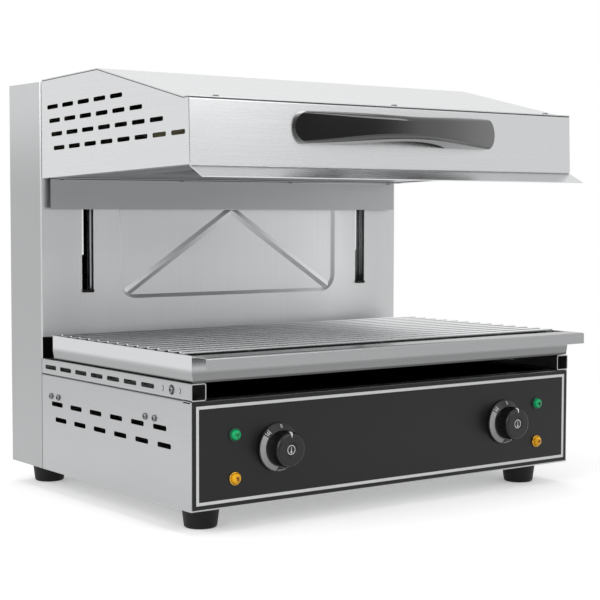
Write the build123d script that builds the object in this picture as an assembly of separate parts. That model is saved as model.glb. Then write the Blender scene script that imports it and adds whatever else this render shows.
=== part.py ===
from build123d import *

import os
from math import cos, radians, tan

# A worktop grill with a lifting hood: a slotted base with two controls, a drip pan with a
# rod grid, a hollow column at the back, and a hood with two tubular elements that rides on
# guide rods inside the column, held up by a counterweight on two cables.
#
# Millimetres. X runs to the right from the middle of the body, Y to the back from the face
# of the control panel, and Z up from the floor. The last step moves everything along Y, so
# that the origin is at the centre of the whole box. Left is the user's left, at minus X.

# ---- sheet metal and clearances
SHEET = 1.2                 # wall of the folded stainless sheet
BEND = 1.5                  # inner radius of a fold
HEAVY_PLATE = 3.0           # arms and crossbar
TOUCH = 0.1                 # gap between neighbours that are screwed together
RUNNING = 0.04              # radial clearance of a shaft in its bush
PRESSED = 0.02              # radial clearance of a bush or shaft in its seat
PASS = 0.3                  # gap between a moving piece and what it passes

# ---- body
WIDTH = 600.0
BASE_DEPTH = 363.0          # control panel to column
BASE_HEIGHT = 125.0
COLUMN_DEPTH = 88.0
COLUMN_HEIGHT = 503.3       # above the feet
FOOT_HEIGHT = 28.5
FOOT_TOP_RADIUS = 23.0
FOOT_BOTTOM_RADIUS = 19.2
FOOT_EDGE_RADIUS = 3.0
FOOT_INSET = 43.0           # centre from the sides of the body
FRONT_FOOT_Y = 48.0
REAR_FOOT_INSET = 24.0      # centre from the back of the body
FLANGE = 15.0               # turned edges of the base sheets
TRAY_DROP = 10.0            # base top sheet below the top of the panel

# ---- rails that carry the pan
RAIL = 20.0                 # width and height
GLIDE_RADIUS = 5.0
GLIDE_HEIGHT = 0.6
GLIDE_INSET = 40.0          # centre from the rail's ends
RAIL_SCREW_Y = 41.3
PAN_LIFT = 0.8              # pan bottom above the rails

# ---- vents: length, height, corner radius, pitch
RAIL_VENT = (29.5, 5.5)
RAIL_VENT_PITCH = 40.5
RAIL_VENT_COUNT = 7
RAIL_VENT_START = 79.8
BASE_VENT = (29.5, 6.0)
BASE_VENT_PITCH = 50.5
BASE_VENT_COUNT = 6
BASE_VENT_ROWS = ((53.0, 88.7), (43.1, 69.0))    # front end of the row, height over the underside
HOOD_VENT = (29.2, 5.5)
HOOD_VENT_PITCH = 40.6
HOOD_VENT_ROWS = ((18.5, 89.6), (23.3, 71.9), (28.4, 54.6), (33.9, 36.8))    # rear end, height
HOOD_VENT_COUNTS = (5, 6, 7, 8)
VENT_CORNER = 2.2

# ---- control panel
FASCIA = 0.8                # thickness of the dark facing
FASCIA_EDGE = 1.0           # bare steel left above it
FASCIA_INSET = 1.8          # bare steel left at its sides and under it
KNOB_INSET = 119.0          # centre from the sides of the body
KNOB_HEIGHT = 63.8          # over the underside of the base
KNOB_RADIUS = 20.5
KNOB_DEPTH = 19.5
KNOB_GAP = 0.5              # knob to bezel
KNOB_RECESS_RADIUS = 7.5
KNOB_RECESS_DEPTH = 1.2
KNOB_SHOULDER = ((0.5, 2.5), (1.6, 0.7), (3.5, 0.0))    # inwards from the edge, back from the front
BEZEL_RADIUS = 28.75
BEZEL_EDGE = 3.0
BEZEL_DEPTH = 8.0
SPINDLE_RADIUS = 3.0
SPINDLE_REACH = 20.0        # behind the panel
NECK_RADIUS = 5.0
NECK_LENGTH = 6.0           # in front of the panel
REGULATOR = (38.0, 32.0, 33.0)                   # width, depth, height
BLADE = (0.8, 8.0, 6.3)
LAMP_INSET = 58.5
LAMP_HEIGHTS = {"green": 83.5, "amber": 33.0}
LAMP_BEZEL_RADIUS = 8.0
LAMP_BEZEL_DEPTH = 2.0
LENS_RADIUS = 6.0
LENS_DEPTH = 7.0
LAMP_BARREL_RADIUS = 5.0
LAMP_BARREL_LENGTH = 22.0

# ---- drip pan and rod grid
PAN_DEPTH = 333.0
PAN_HEIGHT = 30.7
PAN_SIDE_GAP = 1.0          # pan side inside the side of the body
PAN_FOLD = 11.0             # height of the fold in the pan's side
PAN_TAPER = 2.0             # how far the pan's bottom is narrower, each side
LIP_REACH = 30.0
LIP_DROP = 14.0
LEDGE_WIDTH = 10.0
ROD_RADIUS = 2.8
ROD_COUNT = 13
ROD_PITCH = 23.6
ROD_START = 28.2
ROD_END_GAP = 1.2           # rod end to pan wall
ROD_CENTRE_DROP = 0.1       # rod centres below the pan's rim
TIE_RADIUS = 2.5            # bars that the rods are welded to
TIE_SPACING = 200.0
TIE_OVERHANG = 8.0
WELD = 0.5                  # depth that welded rods sink into each other

# ---- column
POCKET_INSET = 116.5        # pressed pocket in the column's face, from the sides of the body
POCKET_BOTTOM = 219.0       # over the underside of the base
POCKET_DROP = 45.3          # its upper edge under the column's top
POCKET_RADIUS = 25.0
POCKET_DEPTH = 3.5
POCKET_DRAFT = 55.0         # degrees
RIDGE_WIDTH = 12.0
RIDGE_HEIGHT = 1.5
SLOT_INSET = 68.8           # centre from the sides of the body
SLOT_WIDTH = 17.3
SLOT_DROP = 28.3            # upper end under the column's top
SLOT_CORNER = 2.0
BUMPER_HEIGHT = 3.5
BUMPER_DEPTH = 5.0
COVER_FLANGE = 10.0

# ---- lift gear inside the column
GUIDE_INSET = 84.5          # rod centre from the sides of the body
GUIDE_RADIUS = 5.0
GUIDE_SETBACK = 20.0        # rod centre behind the column's face
CLAMP_HEIGHT = 18.0
CLAMP_BOTTOM = 180.0        # over the underside of the base
CLAMP_DEPTH = 27.0
CLAMP_INNER = 16.5          # towards the middle of the body from the rod
CLAMP_OUTER = 6.7
BUSH_WALL = 1.0
BUSH_LENGTH = 12.0
TRAVEL = 119.0              # of the hood
STOP_GAP = 0.5              # arms over their rubber stops at the lowest place
CARRIAGE_RISE = 1.0         # lower face over the hood's rear lower edge
CARRIAGE_HEIGHT = 80.0
CARRIAGE_HALF_DEPTH = 10.0
CARRIAGE_INNER = 12.0       # towards the middle of the body from the rod
ARM_OFFSET = -6.2           # arm from the slot's centre, both towards minus X
ARM_SETBACK = 3.0           # arm strip behind the column's face
ARM_STRIP_DEPTH = 10.0
ARM_STRIP_DROP = 100.0      # its lower end under the hood's rear lower edge
TONGUE_DROP = 27.0
CROSSBAR_HEIGHT = 50.0
CABLE_RADIUS = 1.5
FERRULE_RADIUS = 4.0
FERRULE_HEIGHT = 10.0
CABLE_SHORTEST = 20.0       # front run with the hood at its top
PULLEY_SPACING = 220.0
PULLEY_CLEARANCE = 3.6      # between a pulley and the top of its fork
PULLEY_PITCH_RADIUS = 13.5
PULLEY_RADIUS = 16.5
PULLEY_WIDTH = 10.0
PULLEY_RIM = 1.5
AXLE_RADIUS = 3.0
BRACKET_WALL = 2.0
BRACKET_GAP = 3.0           # pulley to bracket cheek
BRACKET_DEPTH = 20.0
WEIGHT_INSET = 60.0         # ends of the counterweight from the sides of the body
WEIGHT_DEPTH = 38.0
WEIGHT_HEIGHT = 70.0
WEIGHT_BOTTOM = 55.0        # over the underside of the base
WEIGHT_CHAMFER = 3.0

# ---- hood, in its own level frame: depth from its rear face, height from its lower edge
HOOD_RAKE = 1.7             # degrees that the hood's front is tilted up
HOOD_GAP = 5.5              # hood to column
HOOD_DROP = 124.3           # rear lower edge under the column's top
HOOD_DEPTH = 357.4
HOOD_REAR_HEIGHT = 126.4
HOOD_PEAK = (150.5, 126.6)
HOOD_FRONT_HEIGHT = 76.2
HOOD_BROW = 13.4            # level strip behind the front's top edge
SIDE_FLANGE = 14.0
SKIRT_REACH = 23.4
SKIRT_DROP = 14.1
SKIRT_FLANGE = 16.0
PLATE_INSET = 10.6          # rear plate from the sides of the body
PLATE_HEIGHT = 41.0
PLATE_GAP = 2.5             # rear plate in front of the hood's rear face
PLATE_FLANGE = 12.0
WINDOW_INSET = 87.0         # opening under the elements, from the sides of the body
WINDOW_DEPTH = 182.0
WINDOW_REAR = 118.0         # its rear edge from the hood's rear face
WINDOW_RIM = 6.0
REFLECTOR_HEIGHT = 28.6
REFLECTOR_SLOPE = 10.0
REFLECTOR_FOOT = 12.0
REFLECTOR_GAP = 4.0         # window to reflector
INSULATION = 26.0
TUBE_RADIUS = 4.0
TUBE_PITCH = 36.0
TUBE_LEGS = 4
TUBE_HEIGHT = 15.0          # centre over the hood's lower edge
TUBE_MIDDLE_GAP = 8.0       # inner turns from the middle of the body
TUBE_END_GAP = 8.0          # outer turns from the reflector's end
TUBE_TAIL = 20.0            # outside the reflector's end
TUBE_TURN = 17.0
HANGER_WALL = 1.5
HANGER_LIP = 2.4            # below the tubes
HANGER_SPOTS = (60.0, 155.0)

# ---- handle
HANDLE_HALF = 158.5         # half of its length at the hood's face
HANDLE_CREASE = 145.0       # half of the length where the front sweep starts
HANDLE_CREASE_REACH = 9.0
HANDLE_TIP_REACH = 4.0
HANDLE_END = 16.0           # length over which the ends are rounded off
HANDLE_REACH = 42.0
HANDLE_WALL = 16.0
HANDLE_FOOT = 80.5          # length of each foot on the face
HANDLE_BASE = (26.4, 64.4)  # lower and upper edge at the hood's face
HANDLE_NOSE = (34.5, 61.5)  # lower and upper edge at the front
HANDLE_ROUND = 7.0
HANDLE_SAG = 1.5            # dip of the top edge in the middle

# ---- screws and services
SCREW_HEAD_RADIUS = 4.0
SCREW_HEAD_HEIGHT = 2.4
SIDE_SCREWS = ((79.6, 98.0), (100.4, 98.0), (317.0, 98.0), (336.4, 98.0))
BROW_SCREW_INSET = 39.0
PLATE_SCREW_INSETS = (25.0, 208.0)
PLATE_SCREW = (3.0, 2.0)    # head radius and height
GLAND_INSET = 80.0          # centre from the side of the body
GLAND_HEIGHT = 45.0         # over the underside of the base
GLAND_RADIUS = 11.0
GLAND_NECK = 8.0
GLAND_BORE = 4.0
GLAND_REACH = 8.0
TERMINALS = (60.0, 24.0, 22.0)
TERMINALS_INSET = 10.0      # from the back cover
TERMINAL_PITCH = 18.0
TERMINAL_HOLE = 8.0         # width and depth of a wire hole

# ---- places worked out from the sizes above
HALF = WIDTH / 2
INSIDE = HALF - SHEET
FLOOR_Z = FOOT_HEIGHT
PANEL_TOP = FLOOR_Z + BASE_HEIGHT
RAIL_TOP = PANEL_TOP + RAIL
COLUMN_TOP = FLOOR_Z + COLUMN_HEIGHT
BACK_Y = BASE_DEPTH + COLUMN_DEPTH
PANEL_Y = FASCIA + SHEET                         # inner face of the panel
KNOB_X = HALF - KNOB_INSET
KNOB_Z = FLOOR_Z + KNOB_HEIGHT
LAMP_X = HALF - LAMP_INSET
PAN_BOTTOM = RAIL_TOP + PAN_LIFT
PAN_TOP = PAN_BOTTOM + PAN_HEIGHT
ROD_Z = PAN_TOP - ROD_CENTRE_DROP
FACE_BACK = BASE_DEPTH + SHEET                   # inner face of the column's front
POCKET = (WIDTH - 2 * POCKET_INSET, COLUMN_HEIGHT - POCKET_DROP - POCKET_BOTTOM)
HOOD_Z = COLUMN_TOP - HOOD_DROP
TONGUE_Z = HOOD_Z - TONGUE_DROP
SLOT_X = HALF - SLOT_INSET
SLOT_TOP = COLUMN_TOP - SLOT_DROP
BUMPER_TOP = TONGUE_Z - TRAVEL - STOP_GAP
SLOT_BOTTOM = BUMPER_TOP - BUMPER_HEIGHT
GUIDE_X = HALF - GUIDE_INSET
GUIDE_Y = BASE_DEPTH + GUIDE_SETBACK
CARRIAGE_Z = HOOD_Z + CARRIAGE_RISE
CARRIAGE_TOP = CARRIAGE_Z + CARRIAGE_HEIGHT
CARRIAGE_BACK = GUIDE_Y + CARRIAGE_HALF_DEPTH
BUSH_RADIUS = GUIDE_RADIUS + RUNNING + BUSH_WALL
CABLE_FRONT_Y = CARRIAGE_BACK + HEAVY_PLATE / 2
PULLEY_Y = CABLE_FRONT_Y + PULLEY_PITCH_RADIUS
CABLE_BACK_Y = PULLEY_Y + PULLEY_PITCH_RADIUS
PULLEY_Z = COLUMN_TOP - SHEET - BRACKET_WALL - PULLEY_CLEARANCE - PULLEY_RADIUS
PULLEY_X = PULLEY_SPACING / 2
CROSSBAR_TOP = PULLEY_Z - CABLE_SHORTEST - FERRULE_HEIGHT
CROSSBAR_Z = CROSSBAR_TOP - CROSSBAR_HEIGHT
WEIGHT_Z = FLOOR_Z + WEIGHT_BOTTOM
WEIGHT_TOP = WEIGHT_Z + WEIGHT_HEIGHT
GLAND_X = HALF - GLAND_INSET
HOOD_Y = BASE_DEPTH - HOOD_GAP
WINDOW_HALF = HALF - WINDOW_INSET
HOOD_LEAN = HOOD_REAR_HEIGHT * tan(radians(HOOD_RAKE))
UNDERSIDE_Z = SHEET                              # underside sheet over the hood's lower edge
PLATE_Y = HOOD_Y - PLATE_GAP                     # back face of the rear plate
HOOD_PLACE = Pos(0, HOOD_Y, HOOD_Z) * Rot(X=-HOOD_RAKE)


# ---- helpers

def block(x, y, z):
    """A box between a low and a high value along each axis."""
    size = (x[1] - x[0], y[1] - y[0], z[1] - z[0])
    middle = Pos((x[0] + x[1]) / 2, (y[0] + y[1]) / 2, (z[0] + z[1]) / 2)
    return middle * Box(*size)


def beside(points, distance):
    """The open line of points moved to its left by a distance, with mitred corners."""
    line = [Vector(*point) for point in points]
    steps = [(after - before).normalized() for before, after in zip(line, line[1:])]
    lefts = [Vector(-step.Y, step.X) for step in steps]
    moved = []
    for place, point in enumerate(line):
        near = lefts[max(place - 1, 0)]
        far = lefts[min(place, len(lefts) - 1)]
        mitre = (near + far).normalized()
        moved.append(point + mitre * (distance / mitre.dot(near)))
    return moved


def bend_radii(points, wall):
    """Fillet radii for a sheet's given line and for the line one wall to its left."""
    line = [Vector(*point) for point in points]
    given = []
    moved = []
    for before, here, after in zip(line, line[1:], line[2:]):
        turns_left = (here - before).cross(after - here).Z > 0
        given.append(BEND + wall if turns_left else BEND)
        moved.append(BEND if turns_left else BEND + wall)
    return given, moved


def folded(points, wall=SHEET):
    """Section of a folded sheet: its wall lies to the left of the open line of points."""
    if len(points) == 2:
        return make_face(Polyline(*points, *reversed(beside(points, wall)), close=True))
    given, moved = bend_radii(points, wall)
    near = FilletPolyline(*points, radius=given)
    far = FilletPolyline(*beside(points, wall), radius=moved)
    ends = [Line(near @ 0, far @ 0), Line(near @ 1, far @ 1)]
    return make_face([*near.edges(), *far.edges(), *ends])


def along_x(face, x0, x1):
    """A section of Y and Z values drawn out from x0 to x1."""
    return extrude(Plane.YZ.offset(x0) * face, x1 - x0)


def along_y(face, y0, y1):
    """A section of X and Z values drawn out from y0 to y1."""
    return extrude(Plane.XZ.offset(-y1) * face, y1 - y0)


def along_z(face, z0, z1):
    """A section of X and Y values drawn out from z0 to z1."""
    return extrude(Plane.XY.offset(z0) * face, z1 - z0)


def outline(*points):
    """A flat face inside a closed line of points."""
    return make_face(Polyline(*points, close=True))


def turned_y(x, z, points):
    """A round piece about a line along Y, from its radii and Y values."""
    return Pos(x, 0, z) * revolve(outline(*points), Axis.Y)


def rod_x(radius, x0, x1, y, z):
    """A round bar along X."""
    return Pos((x0 + x1) / 2, y, z) * Rot(Y=90) * Cylinder(radius, x1 - x0)


def rod_y(radius, x, y0, y1, z):
    """A round bar along Y."""
    return Pos(x, (y0 + y1) / 2, z) * Rot(X=90) * Cylinder(radius, y1 - y0)


def rod_z(radius, x, y, z0, z1):
    """A round bar along Z."""
    return Pos(x, y, (z0 + z1) / 2) * Cylinder(radius, z1 - z0)


def other_side(shape):
    """The same piece on the other side of the body."""
    return mirror(shape, about=Plane.YZ)


def group(*shapes):
    """Separate solids that share one node."""
    return Compound(children=[solid for shape in shapes for solid in shape.solids()])


def both_sides(make, *sizes):
    """A piece made for the left side and for the right side, as one node."""
    return group(make(-1, *sizes), make(1, *sizes))


def vents(places, size, x0, x1):
    """Cutters along X for rounded slots with their centres at the given Y and Z values."""
    slot = RectangleRounded(*size, VENT_CORNER)
    return [along_x(Pos(y, z) * slot, x0, x1) for y, z in places]


def screw_head(radius=SCREW_HEAD_RADIUS, height=SCREW_HEAD_HEIGHT):
    """A pan head on the XY plane, pointing up."""
    head = Cylinder(radius, height, align=(Align.CENTER, Align.CENTER, Align.MIN))
    return chamfer(head.faces().sort_by(Axis.Z)[-1].edges(), height * 0.4)


# ---- base

def feet():
    """Four tapered rubber feet with rounded lower edges."""
    shape = outline((0, 0), (FOOT_BOTTOM_RADIUS, 0), (FOOT_TOP_RADIUS, FOOT_HEIGHT), (0, FOOT_HEIGHT))
    solid = revolve(Plane.XZ * shape, Axis.Z)
    solid = fillet(solid.edges().filter_by(GeomType.CIRCLE).sort_by(Axis.Z)[0], FOOT_EDGE_RADIUS)
    x = HALF - FOOT_INSET
    rows = (FRONT_FOOT_Y, BACK_Y - REAR_FOOT_INSET)
    return group(*[Pos(side * x, y, 0) * solid for side in (-1, 1) for y in rows])


def base_floor():
    """Bottom sheet under the base and the column, turned up at the front and the back."""
    line = (
        (PANEL_Y, FLOOR_Z + FLANGE),
        (PANEL_Y, FLOOR_Z),
        (BACK_Y, FLOOR_Z),
        (BACK_Y, FLOOR_Z + FLANGE),
    )
    return along_x(folded(line), -INSIDE, INSIDE)


def base_side():
    """Left side sheet of the base, with two rows of vents and a turned-in top edge."""
    line = ((-HALF + FLANGE, PANEL_TOP), (-HALF, PANEL_TOP), (-HALF, FLOOR_Z))
    sheet = along_y(folded(line), PANEL_Y, BASE_DEPTH)
    sheet -= block((-HALF, -HALF + FLANGE), (0, PANEL_Y + FLANGE), (PANEL_TOP - SHEET - BEND, PANEL_TOP))
    places = [
        (start + BASE_VENT[0] / 2 + step * BASE_VENT_PITCH, FLOOR_Z + height)
        for start, height in BASE_VENT_ROWS
        for step in range(BASE_VENT_COUNT)
    ]
    return sheet - vents(places, BASE_VENT, -HALF - 1, -INSIDE + 1)


def control_panel():
    """Steel front of the base with its turned-in top edge and the holes of the controls."""
    line = ((PANEL_Y + FLANGE - TOUCH, PANEL_TOP), (FASCIA, PANEL_TOP), (FASCIA, FLOOR_Z))
    return along_x(folded(line), -HALF, HALF) - control_holes()


def control_fascia():
    """Dark facing on the control panel."""
    half = HALF - FASCIA_INSET
    heights = (FLOOR_Z + FASCIA_INSET, PANEL_TOP - FASCIA_EDGE)
    return block((-half, half), (0, FASCIA), heights) - control_holes()


def control_holes():
    """Cutters for the necks of the regulators and the barrels of the lamps."""
    depth = (-1, PANEL_Y + 1)
    holes = []
    for side in (-1, 1):
        holes.append(rod_y(NECK_RADIUS + PASS, side * KNOB_X, *depth, KNOB_Z))
        for height in LAMP_HEIGHTS.values():
            holes.append(rod_y(LAMP_BARREL_RADIUS + PASS, side * LAMP_X, *depth, FLOOR_Z + height))
    return holes


def base_top():
    """Recessed tray that closes the base under the drip pan."""
    low = PANEL_TOP - TRAY_DROP
    high = PANEL_TOP - SHEET - BEND
    edge = INSIDE - TOUCH
    line = ((-edge, high), (-edge, low - SHEET), (edge, low - SHEET), (edge, high))
    return along_y(folded(line), PANEL_Y + TOUCH, BASE_DEPTH - TOUCH)


def pan_rail():
    """Left box rail with vents through both webs."""
    middle = (-HALF + RAIL / 2, PANEL_TOP + RAIL / 2)
    inner = Pos(*middle) * RectangleRounded(RAIL - 2 * SHEET, RAIL - 2 * SHEET, BEND)
    tube = Pos(*middle) * RectangleRounded(RAIL, RAIL, BEND + SHEET) - inner
    places = [
        (RAIL_VENT_START + RAIL_VENT[0] / 2 + step * RAIL_VENT_PITCH, middle[1])
        for step in range(RAIL_VENT_COUNT)
    ]
    return along_y(tube, 0, BASE_DEPTH) - vents(places, RAIL_VENT, -HALF - 1, -HALF + RAIL + 1)


def pan_glides():
    """Low round pads that the pan slides on, two on each rail."""
    x = HALF - RAIL / 2
    spots = [(side * x, y) for side in (-1, 1) for y in (GLIDE_INSET, BASE_DEPTH - GLIDE_INSET)]
    return group(*[rod_z(GLIDE_RADIUS, *spot, RAIL_TOP, RAIL_TOP + GLIDE_HEIGHT) for spot in spots])


# ---- controls

def regulator(side):
    """Energy regulator behind the panel, with a neck for its spindle and three blades."""
    x = side * KNOB_X
    width, depth, height = REGULATOR
    back = PANEL_Y + depth
    body = block((x - width / 2, x + width / 2), (PANEL_Y, back), (KNOB_Z - height / 2, KNOB_Z + height / 2))
    body += rod_y(NECK_RADIUS, x, PANEL_Y - NECK_LENGTH, PANEL_Y, KNOB_Z)
    body -= rod_y(SPINDLE_RADIUS + RUNNING, x, PANEL_Y - NECK_LENGTH, PANEL_Y + SPINDLE_REACH + 1, KNOB_Z)
    for place in (-1, 0, 1):
        middle = x + place * width / 3
        body += block(
            (middle - BLADE[0] / 2, middle + BLADE[0] / 2),
            (back, back + BLADE[1]),
            (KNOB_Z - BLADE[2] / 2, KNOB_Z + BLADE[2] / 2),
        )
    return body


def knob_bezel(side):
    """Fixed dial ring behind a knob: a low rim that rises as a cone."""
    bore = NECK_RADIUS + PASS
    return turned_y(side * KNOB_X, KNOB_Z, (
        (bore, 0),
        (BEZEL_RADIUS, 0),
        (BEZEL_RADIUS, -BEZEL_EDGE),
        (KNOB_RADIUS, -BEZEL_DEPTH),
        (bore, -BEZEL_DEPTH),
    ))


def knob(side):
    """Round knob with a dished face, bored for its spindle."""
    back = -BEZEL_DEPTH - KNOB_GAP
    front = back - KNOB_DEPTH
    bore = SPINDLE_RADIUS + PRESSED
    return turned_y(side * KNOB_X, KNOB_Z, (
        (bore, back),
        (KNOB_RADIUS, back),
        *[(KNOB_RADIUS - inwards, front + depth) for inwards, depth in KNOB_SHOULDER],
        (KNOB_RECESS_RADIUS + 1.0, front),
        (KNOB_RECESS_RADIUS, front + KNOB_RECESS_DEPTH),
        (0, front + KNOB_RECESS_DEPTH),
        (0, front + KNOB_DEPTH / 4),
        (bore, front + KNOB_DEPTH / 4),
    ))


def knob_spindle(side):
    """Shaft from the regulator into the knob."""
    front = -BEZEL_DEPTH - KNOB_GAP - KNOB_DEPTH * 3 / 4 + TOUCH
    return rod_y(SPINDLE_RADIUS, side * KNOB_X, front, PANEL_Y + SPINDLE_REACH, KNOB_Z)


def lamp(side, height):
    """Pilot lamp: domed lens in front of the panel and its barrel behind."""
    return turned_y(side * LAMP_X, FLOOR_Z + height, (
        (0, LAMP_BARREL_LENGTH),
        (LAMP_BARREL_RADIUS, LAMP_BARREL_LENGTH),
        (LAMP_BARREL_RADIUS, 0),
        (LENS_RADIUS, 0),
        (LENS_RADIUS, -LENS_DEPTH * 0.45),
        (LENS_RADIUS * 0.87, -LENS_DEPTH * 0.72),
        (LENS_RADIUS * 0.5, -LENS_DEPTH * 0.93),
        (0, -LENS_DEPTH),
    ))


def lamp_bezels():
    """Rims round the four lenses."""
    rings = []
    for side in (-1, 1):
        for height in LAMP_HEIGHTS.values():
            rings.append(turned_y(side * LAMP_X, FLOOR_Z + height, (
                (LENS_RADIUS + TOUCH, 0),
                (LAMP_BEZEL_RADIUS, 0),
                (LAMP_BEZEL_RADIUS - 0.6, -LAMP_BEZEL_DEPTH),
                (LENS_RADIUS + TOUCH, -LAMP_BEZEL_DEPTH),
            )))
    return group(*rings)


# ---- drip pan and rod grid

def drip_pan():
    """Shallow pan with side ledges for the grid and a hollow lip across the front."""
    edge = HALF - PAN_SIDE_GAP
    low = edge - PAN_TAPER
    fold = PAN_BOTTOM + PAN_FOLD
    section = (
        (-edge, PAN_TOP),
        (-edge, fold),
        (-low, PAN_BOTTOM),
        (low, PAN_BOTTOM),
        (edge, fold),
        (edge, PAN_TOP),
    )
    pan = along_y(folded(section), SHEET, PAN_DEPTH - SHEET)
    end = outline(*section)
    pan += along_y(end, 0, SHEET)
    pan += along_y(end, PAN_DEPTH - SHEET, PAN_DEPTH)
    high = PAN_TOP + ROD_CENTRE_DROP
    lip = ((SHEET, fold), (SHEET, high), (-LIP_REACH, high), (-LIP_REACH, PAN_TOP - LIP_DROP))
    pan += along_x(folded(lip), -edge, edge)
    top = ROD_Z - ROD_RADIUS - TOUCH
    for side in (-1, 1):
        across = sorted((side * edge, side * (edge - SHEET - LEDGE_WIDTH)))
        pan += block(across, (SHEET, PAN_DEPTH - SHEET), (top - SHEET, top))
    return pan


def rod_grid():
    """Thirteen round rods across the pan, welded to three ties under them."""
    reach = HALF - PAN_SIDE_GAP - SHEET - ROD_END_GAP
    rows = [ROD_START + step * ROD_PITCH for step in range(ROD_COUNT)]
    rods = [rod_x(ROD_RADIUS, -reach, reach, row, ROD_Z) for row in rows]
    tie_z = ROD_Z - ROD_RADIUS - TIE_RADIUS + WELD
    ends = (rows[0] - TIE_OVERHANG, rows[-1] + TIE_OVERHANG)
    ties = [rod_y(TIE_RADIUS, place * TIE_SPACING, *ends, tie_z) for place in (-1, 0, 1)]
    return ties[0] + ties[1:] + rods


# ---- column

def column_wrap():
    """Front and sides of the column in one sheet, with the pressed pocket and the two slots."""
    line = ((-HALF, BACK_Y), (-HALF, BASE_DEPTH), (HALF, BASE_DEPTH), (HALF, BACK_Y))
    wrap = along_z(folded(line), FLOOR_Z, COLUMN_TOP)
    wrap -= block((-INSIDE, INSIDE), (BASE_DEPTH, FACE_BACK + BEND), (FLOOR_Z, FLOOR_Z + SHEET))
    middle = (0, FLOOR_Z + POCKET_BOTTOM + POCKET[1] / 2)
    face = Plane.XZ.offset(-BASE_DEPTH)
    shape = face * (Pos(*middle) * RectangleRounded(*POCKET, POCKET_RADIUS))
    wide = (POCKET[0] + 2 * SHEET, POCKET[1] + 2 * SHEET)
    outer = face * (Pos(*middle) * RectangleRounded(*wide, POCKET_RADIUS + SHEET))
    wrap += extrude(outer, -(POCKET_DEPTH + SHEET), taper=POCKET_DRAFT)
    hollow = extrude(shape, -POCKET_DEPTH, taper=POCKET_DRAFT)
    wrap -= hollow
    wrap += pocket_ridges(middle, 0) & hollow
    wrap -= pocket_ridges(middle, SHEET)
    size = (SLOT_WIDTH, SLOT_TOP - SLOT_BOTTOM)
    slot_middle = (SLOT_TOP + SLOT_BOTTOM) / 2
    for side in (-1, 1):
        slot = Pos(side * SLOT_X, slot_middle) * RectangleRounded(*size, SLOT_CORNER)
        wrap -= along_y(slot, BASE_DEPTH - 1, FACE_BACK + 1)
    return wrap


def pocket_ridges(middle, setback):
    """Two crossed ridges from corner to corner of the pocket, moved back by a distance."""
    floor = BASE_DEPTH + POCKET_DEPTH + setback
    section = outline((-RIDGE_WIDTH / 2, 0), (RIDGE_WIDTH / 2, 0), (0, RIDGE_HEIGHT))
    ridges = None
    for slant in (-1, 1):
        run = Vector(POCKET[0] * slant, 0, POCKET[1])
        length = run.length
        start = Vector(middle[0], floor, middle[1]) - run / 2
        across = Vector(-run.Z, 0, run.X)
        prism = extrude(Plane(origin=start, x_dir=across, z_dir=run) * section, length)
        ridges = prism if ridges is None else ridges + prism
    return ridges


def column_back():
    """Back cover of the column, turned in along both sides, with the hole of the gland."""
    edge = INSIDE - TOUCH
    low_y = BACK_Y - SHEET - COVER_FLANGE
    line = ((edge, low_y), (edge, BACK_Y), (-edge, BACK_Y), (-edge, low_y))
    cover = along_z(folded(line), FLOOR_Z + FLANGE + TOUCH, COLUMN_TOP - SHEET - TOUCH)
    return cover - rod_y(GLAND_NECK + TOUCH, GLAND_X, BACK_Y - SHEET - 1, BACK_Y + 1, FLOOR_Z + GLAND_HEIGHT)


def column_top():
    """Cap of the column, turned down behind its face."""
    front = FACE_BACK + TOUCH
    line = ((BACK_Y, COLUMN_TOP), (front, COLUMN_TOP), (front, COLUMN_TOP - COVER_FLANGE))
    edge = INSIDE - BEND
    return along_x(folded(line), -edge, edge)


def slot_bumpers():
    """Rubber stops on the lower ends of the slots."""
    width = SLOT_WIDTH / 2 - TOUCH
    back = BASE_DEPTH + ARM_SETBACK - PASS
    stops = []
    for x in (-SLOT_X, SLOT_X):
        stop = block((x - width, x + width), (back - BUMPER_DEPTH, back), (SLOT_BOTTOM, BUMPER_TOP))
        stops.append(fillet(stop.edges().filter_by(Axis.Y).group_by(Axis.Z)[0], SLOT_CORNER))
    return group(*stops)


# ---- lift gear

def guide_rod(side):
    """Polished rod that the carriage slides on."""
    top = CARRIAGE_TOP + PASS + CLAMP_HEIGHT
    return rod_z(GUIDE_RADIUS, side * GUIDE_X, GUIDE_Y, FLOOR_Z + CLAMP_BOTTOM, top)


def guide_clamps():
    """Blocks behind the column's face that hold the ends of the guide rods."""
    clamps = []
    for side in (-1, 1):
        across = sorted((side * (GUIDE_X - CLAMP_INNER), side * (GUIDE_X + CLAMP_OUTER)))
        for low in (FLOOR_Z + CLAMP_BOTTOM, CARRIAGE_TOP + PASS):
            high = low + CLAMP_HEIGHT
            clamp = block(across, (FACE_BACK, FACE_BACK + CLAMP_DEPTH), (low, high))
            clamps.append(clamp - rod_z(GUIDE_RADIUS + PRESSED, side * GUIDE_X, GUIDE_Y, low - 1, high + 1))
    return group(*clamps)


def arm_span(side):
    """Low and high X of an arm: both stand on the same side of their slots."""
    middle = side * SLOT_X + ARM_OFFSET
    return (middle - HEAVY_PLATE / 2, middle + HEAVY_PLATE / 2)


def arm(side):
    """Plate that joins the carriage to the hood through a slot of the column."""
    strip_front = BASE_DEPTH + ARM_SETBACK
    strip_back = strip_front + ARM_STRIP_DEPTH
    lowest = HOOD_Z - ARM_STRIP_DROP
    step = HOOD_Z - PASS
    shape = outline(
        (strip_front, lowest),
        (strip_back, lowest),
        (strip_back, TONGUE_Z),
        (CARRIAGE_BACK, CARRIAGE_Z),
        (CARRIAGE_BACK, CARRIAGE_TOP),
        (HOOD_Y, CARRIAGE_TOP),
        (HOOD_Y, step),
        (PLATE_Y, step),
        (PLATE_Y, TONGUE_Z),
        (strip_front, TONGUE_Z),
    )
    return along_x(shape, *arm_span(side))


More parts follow.
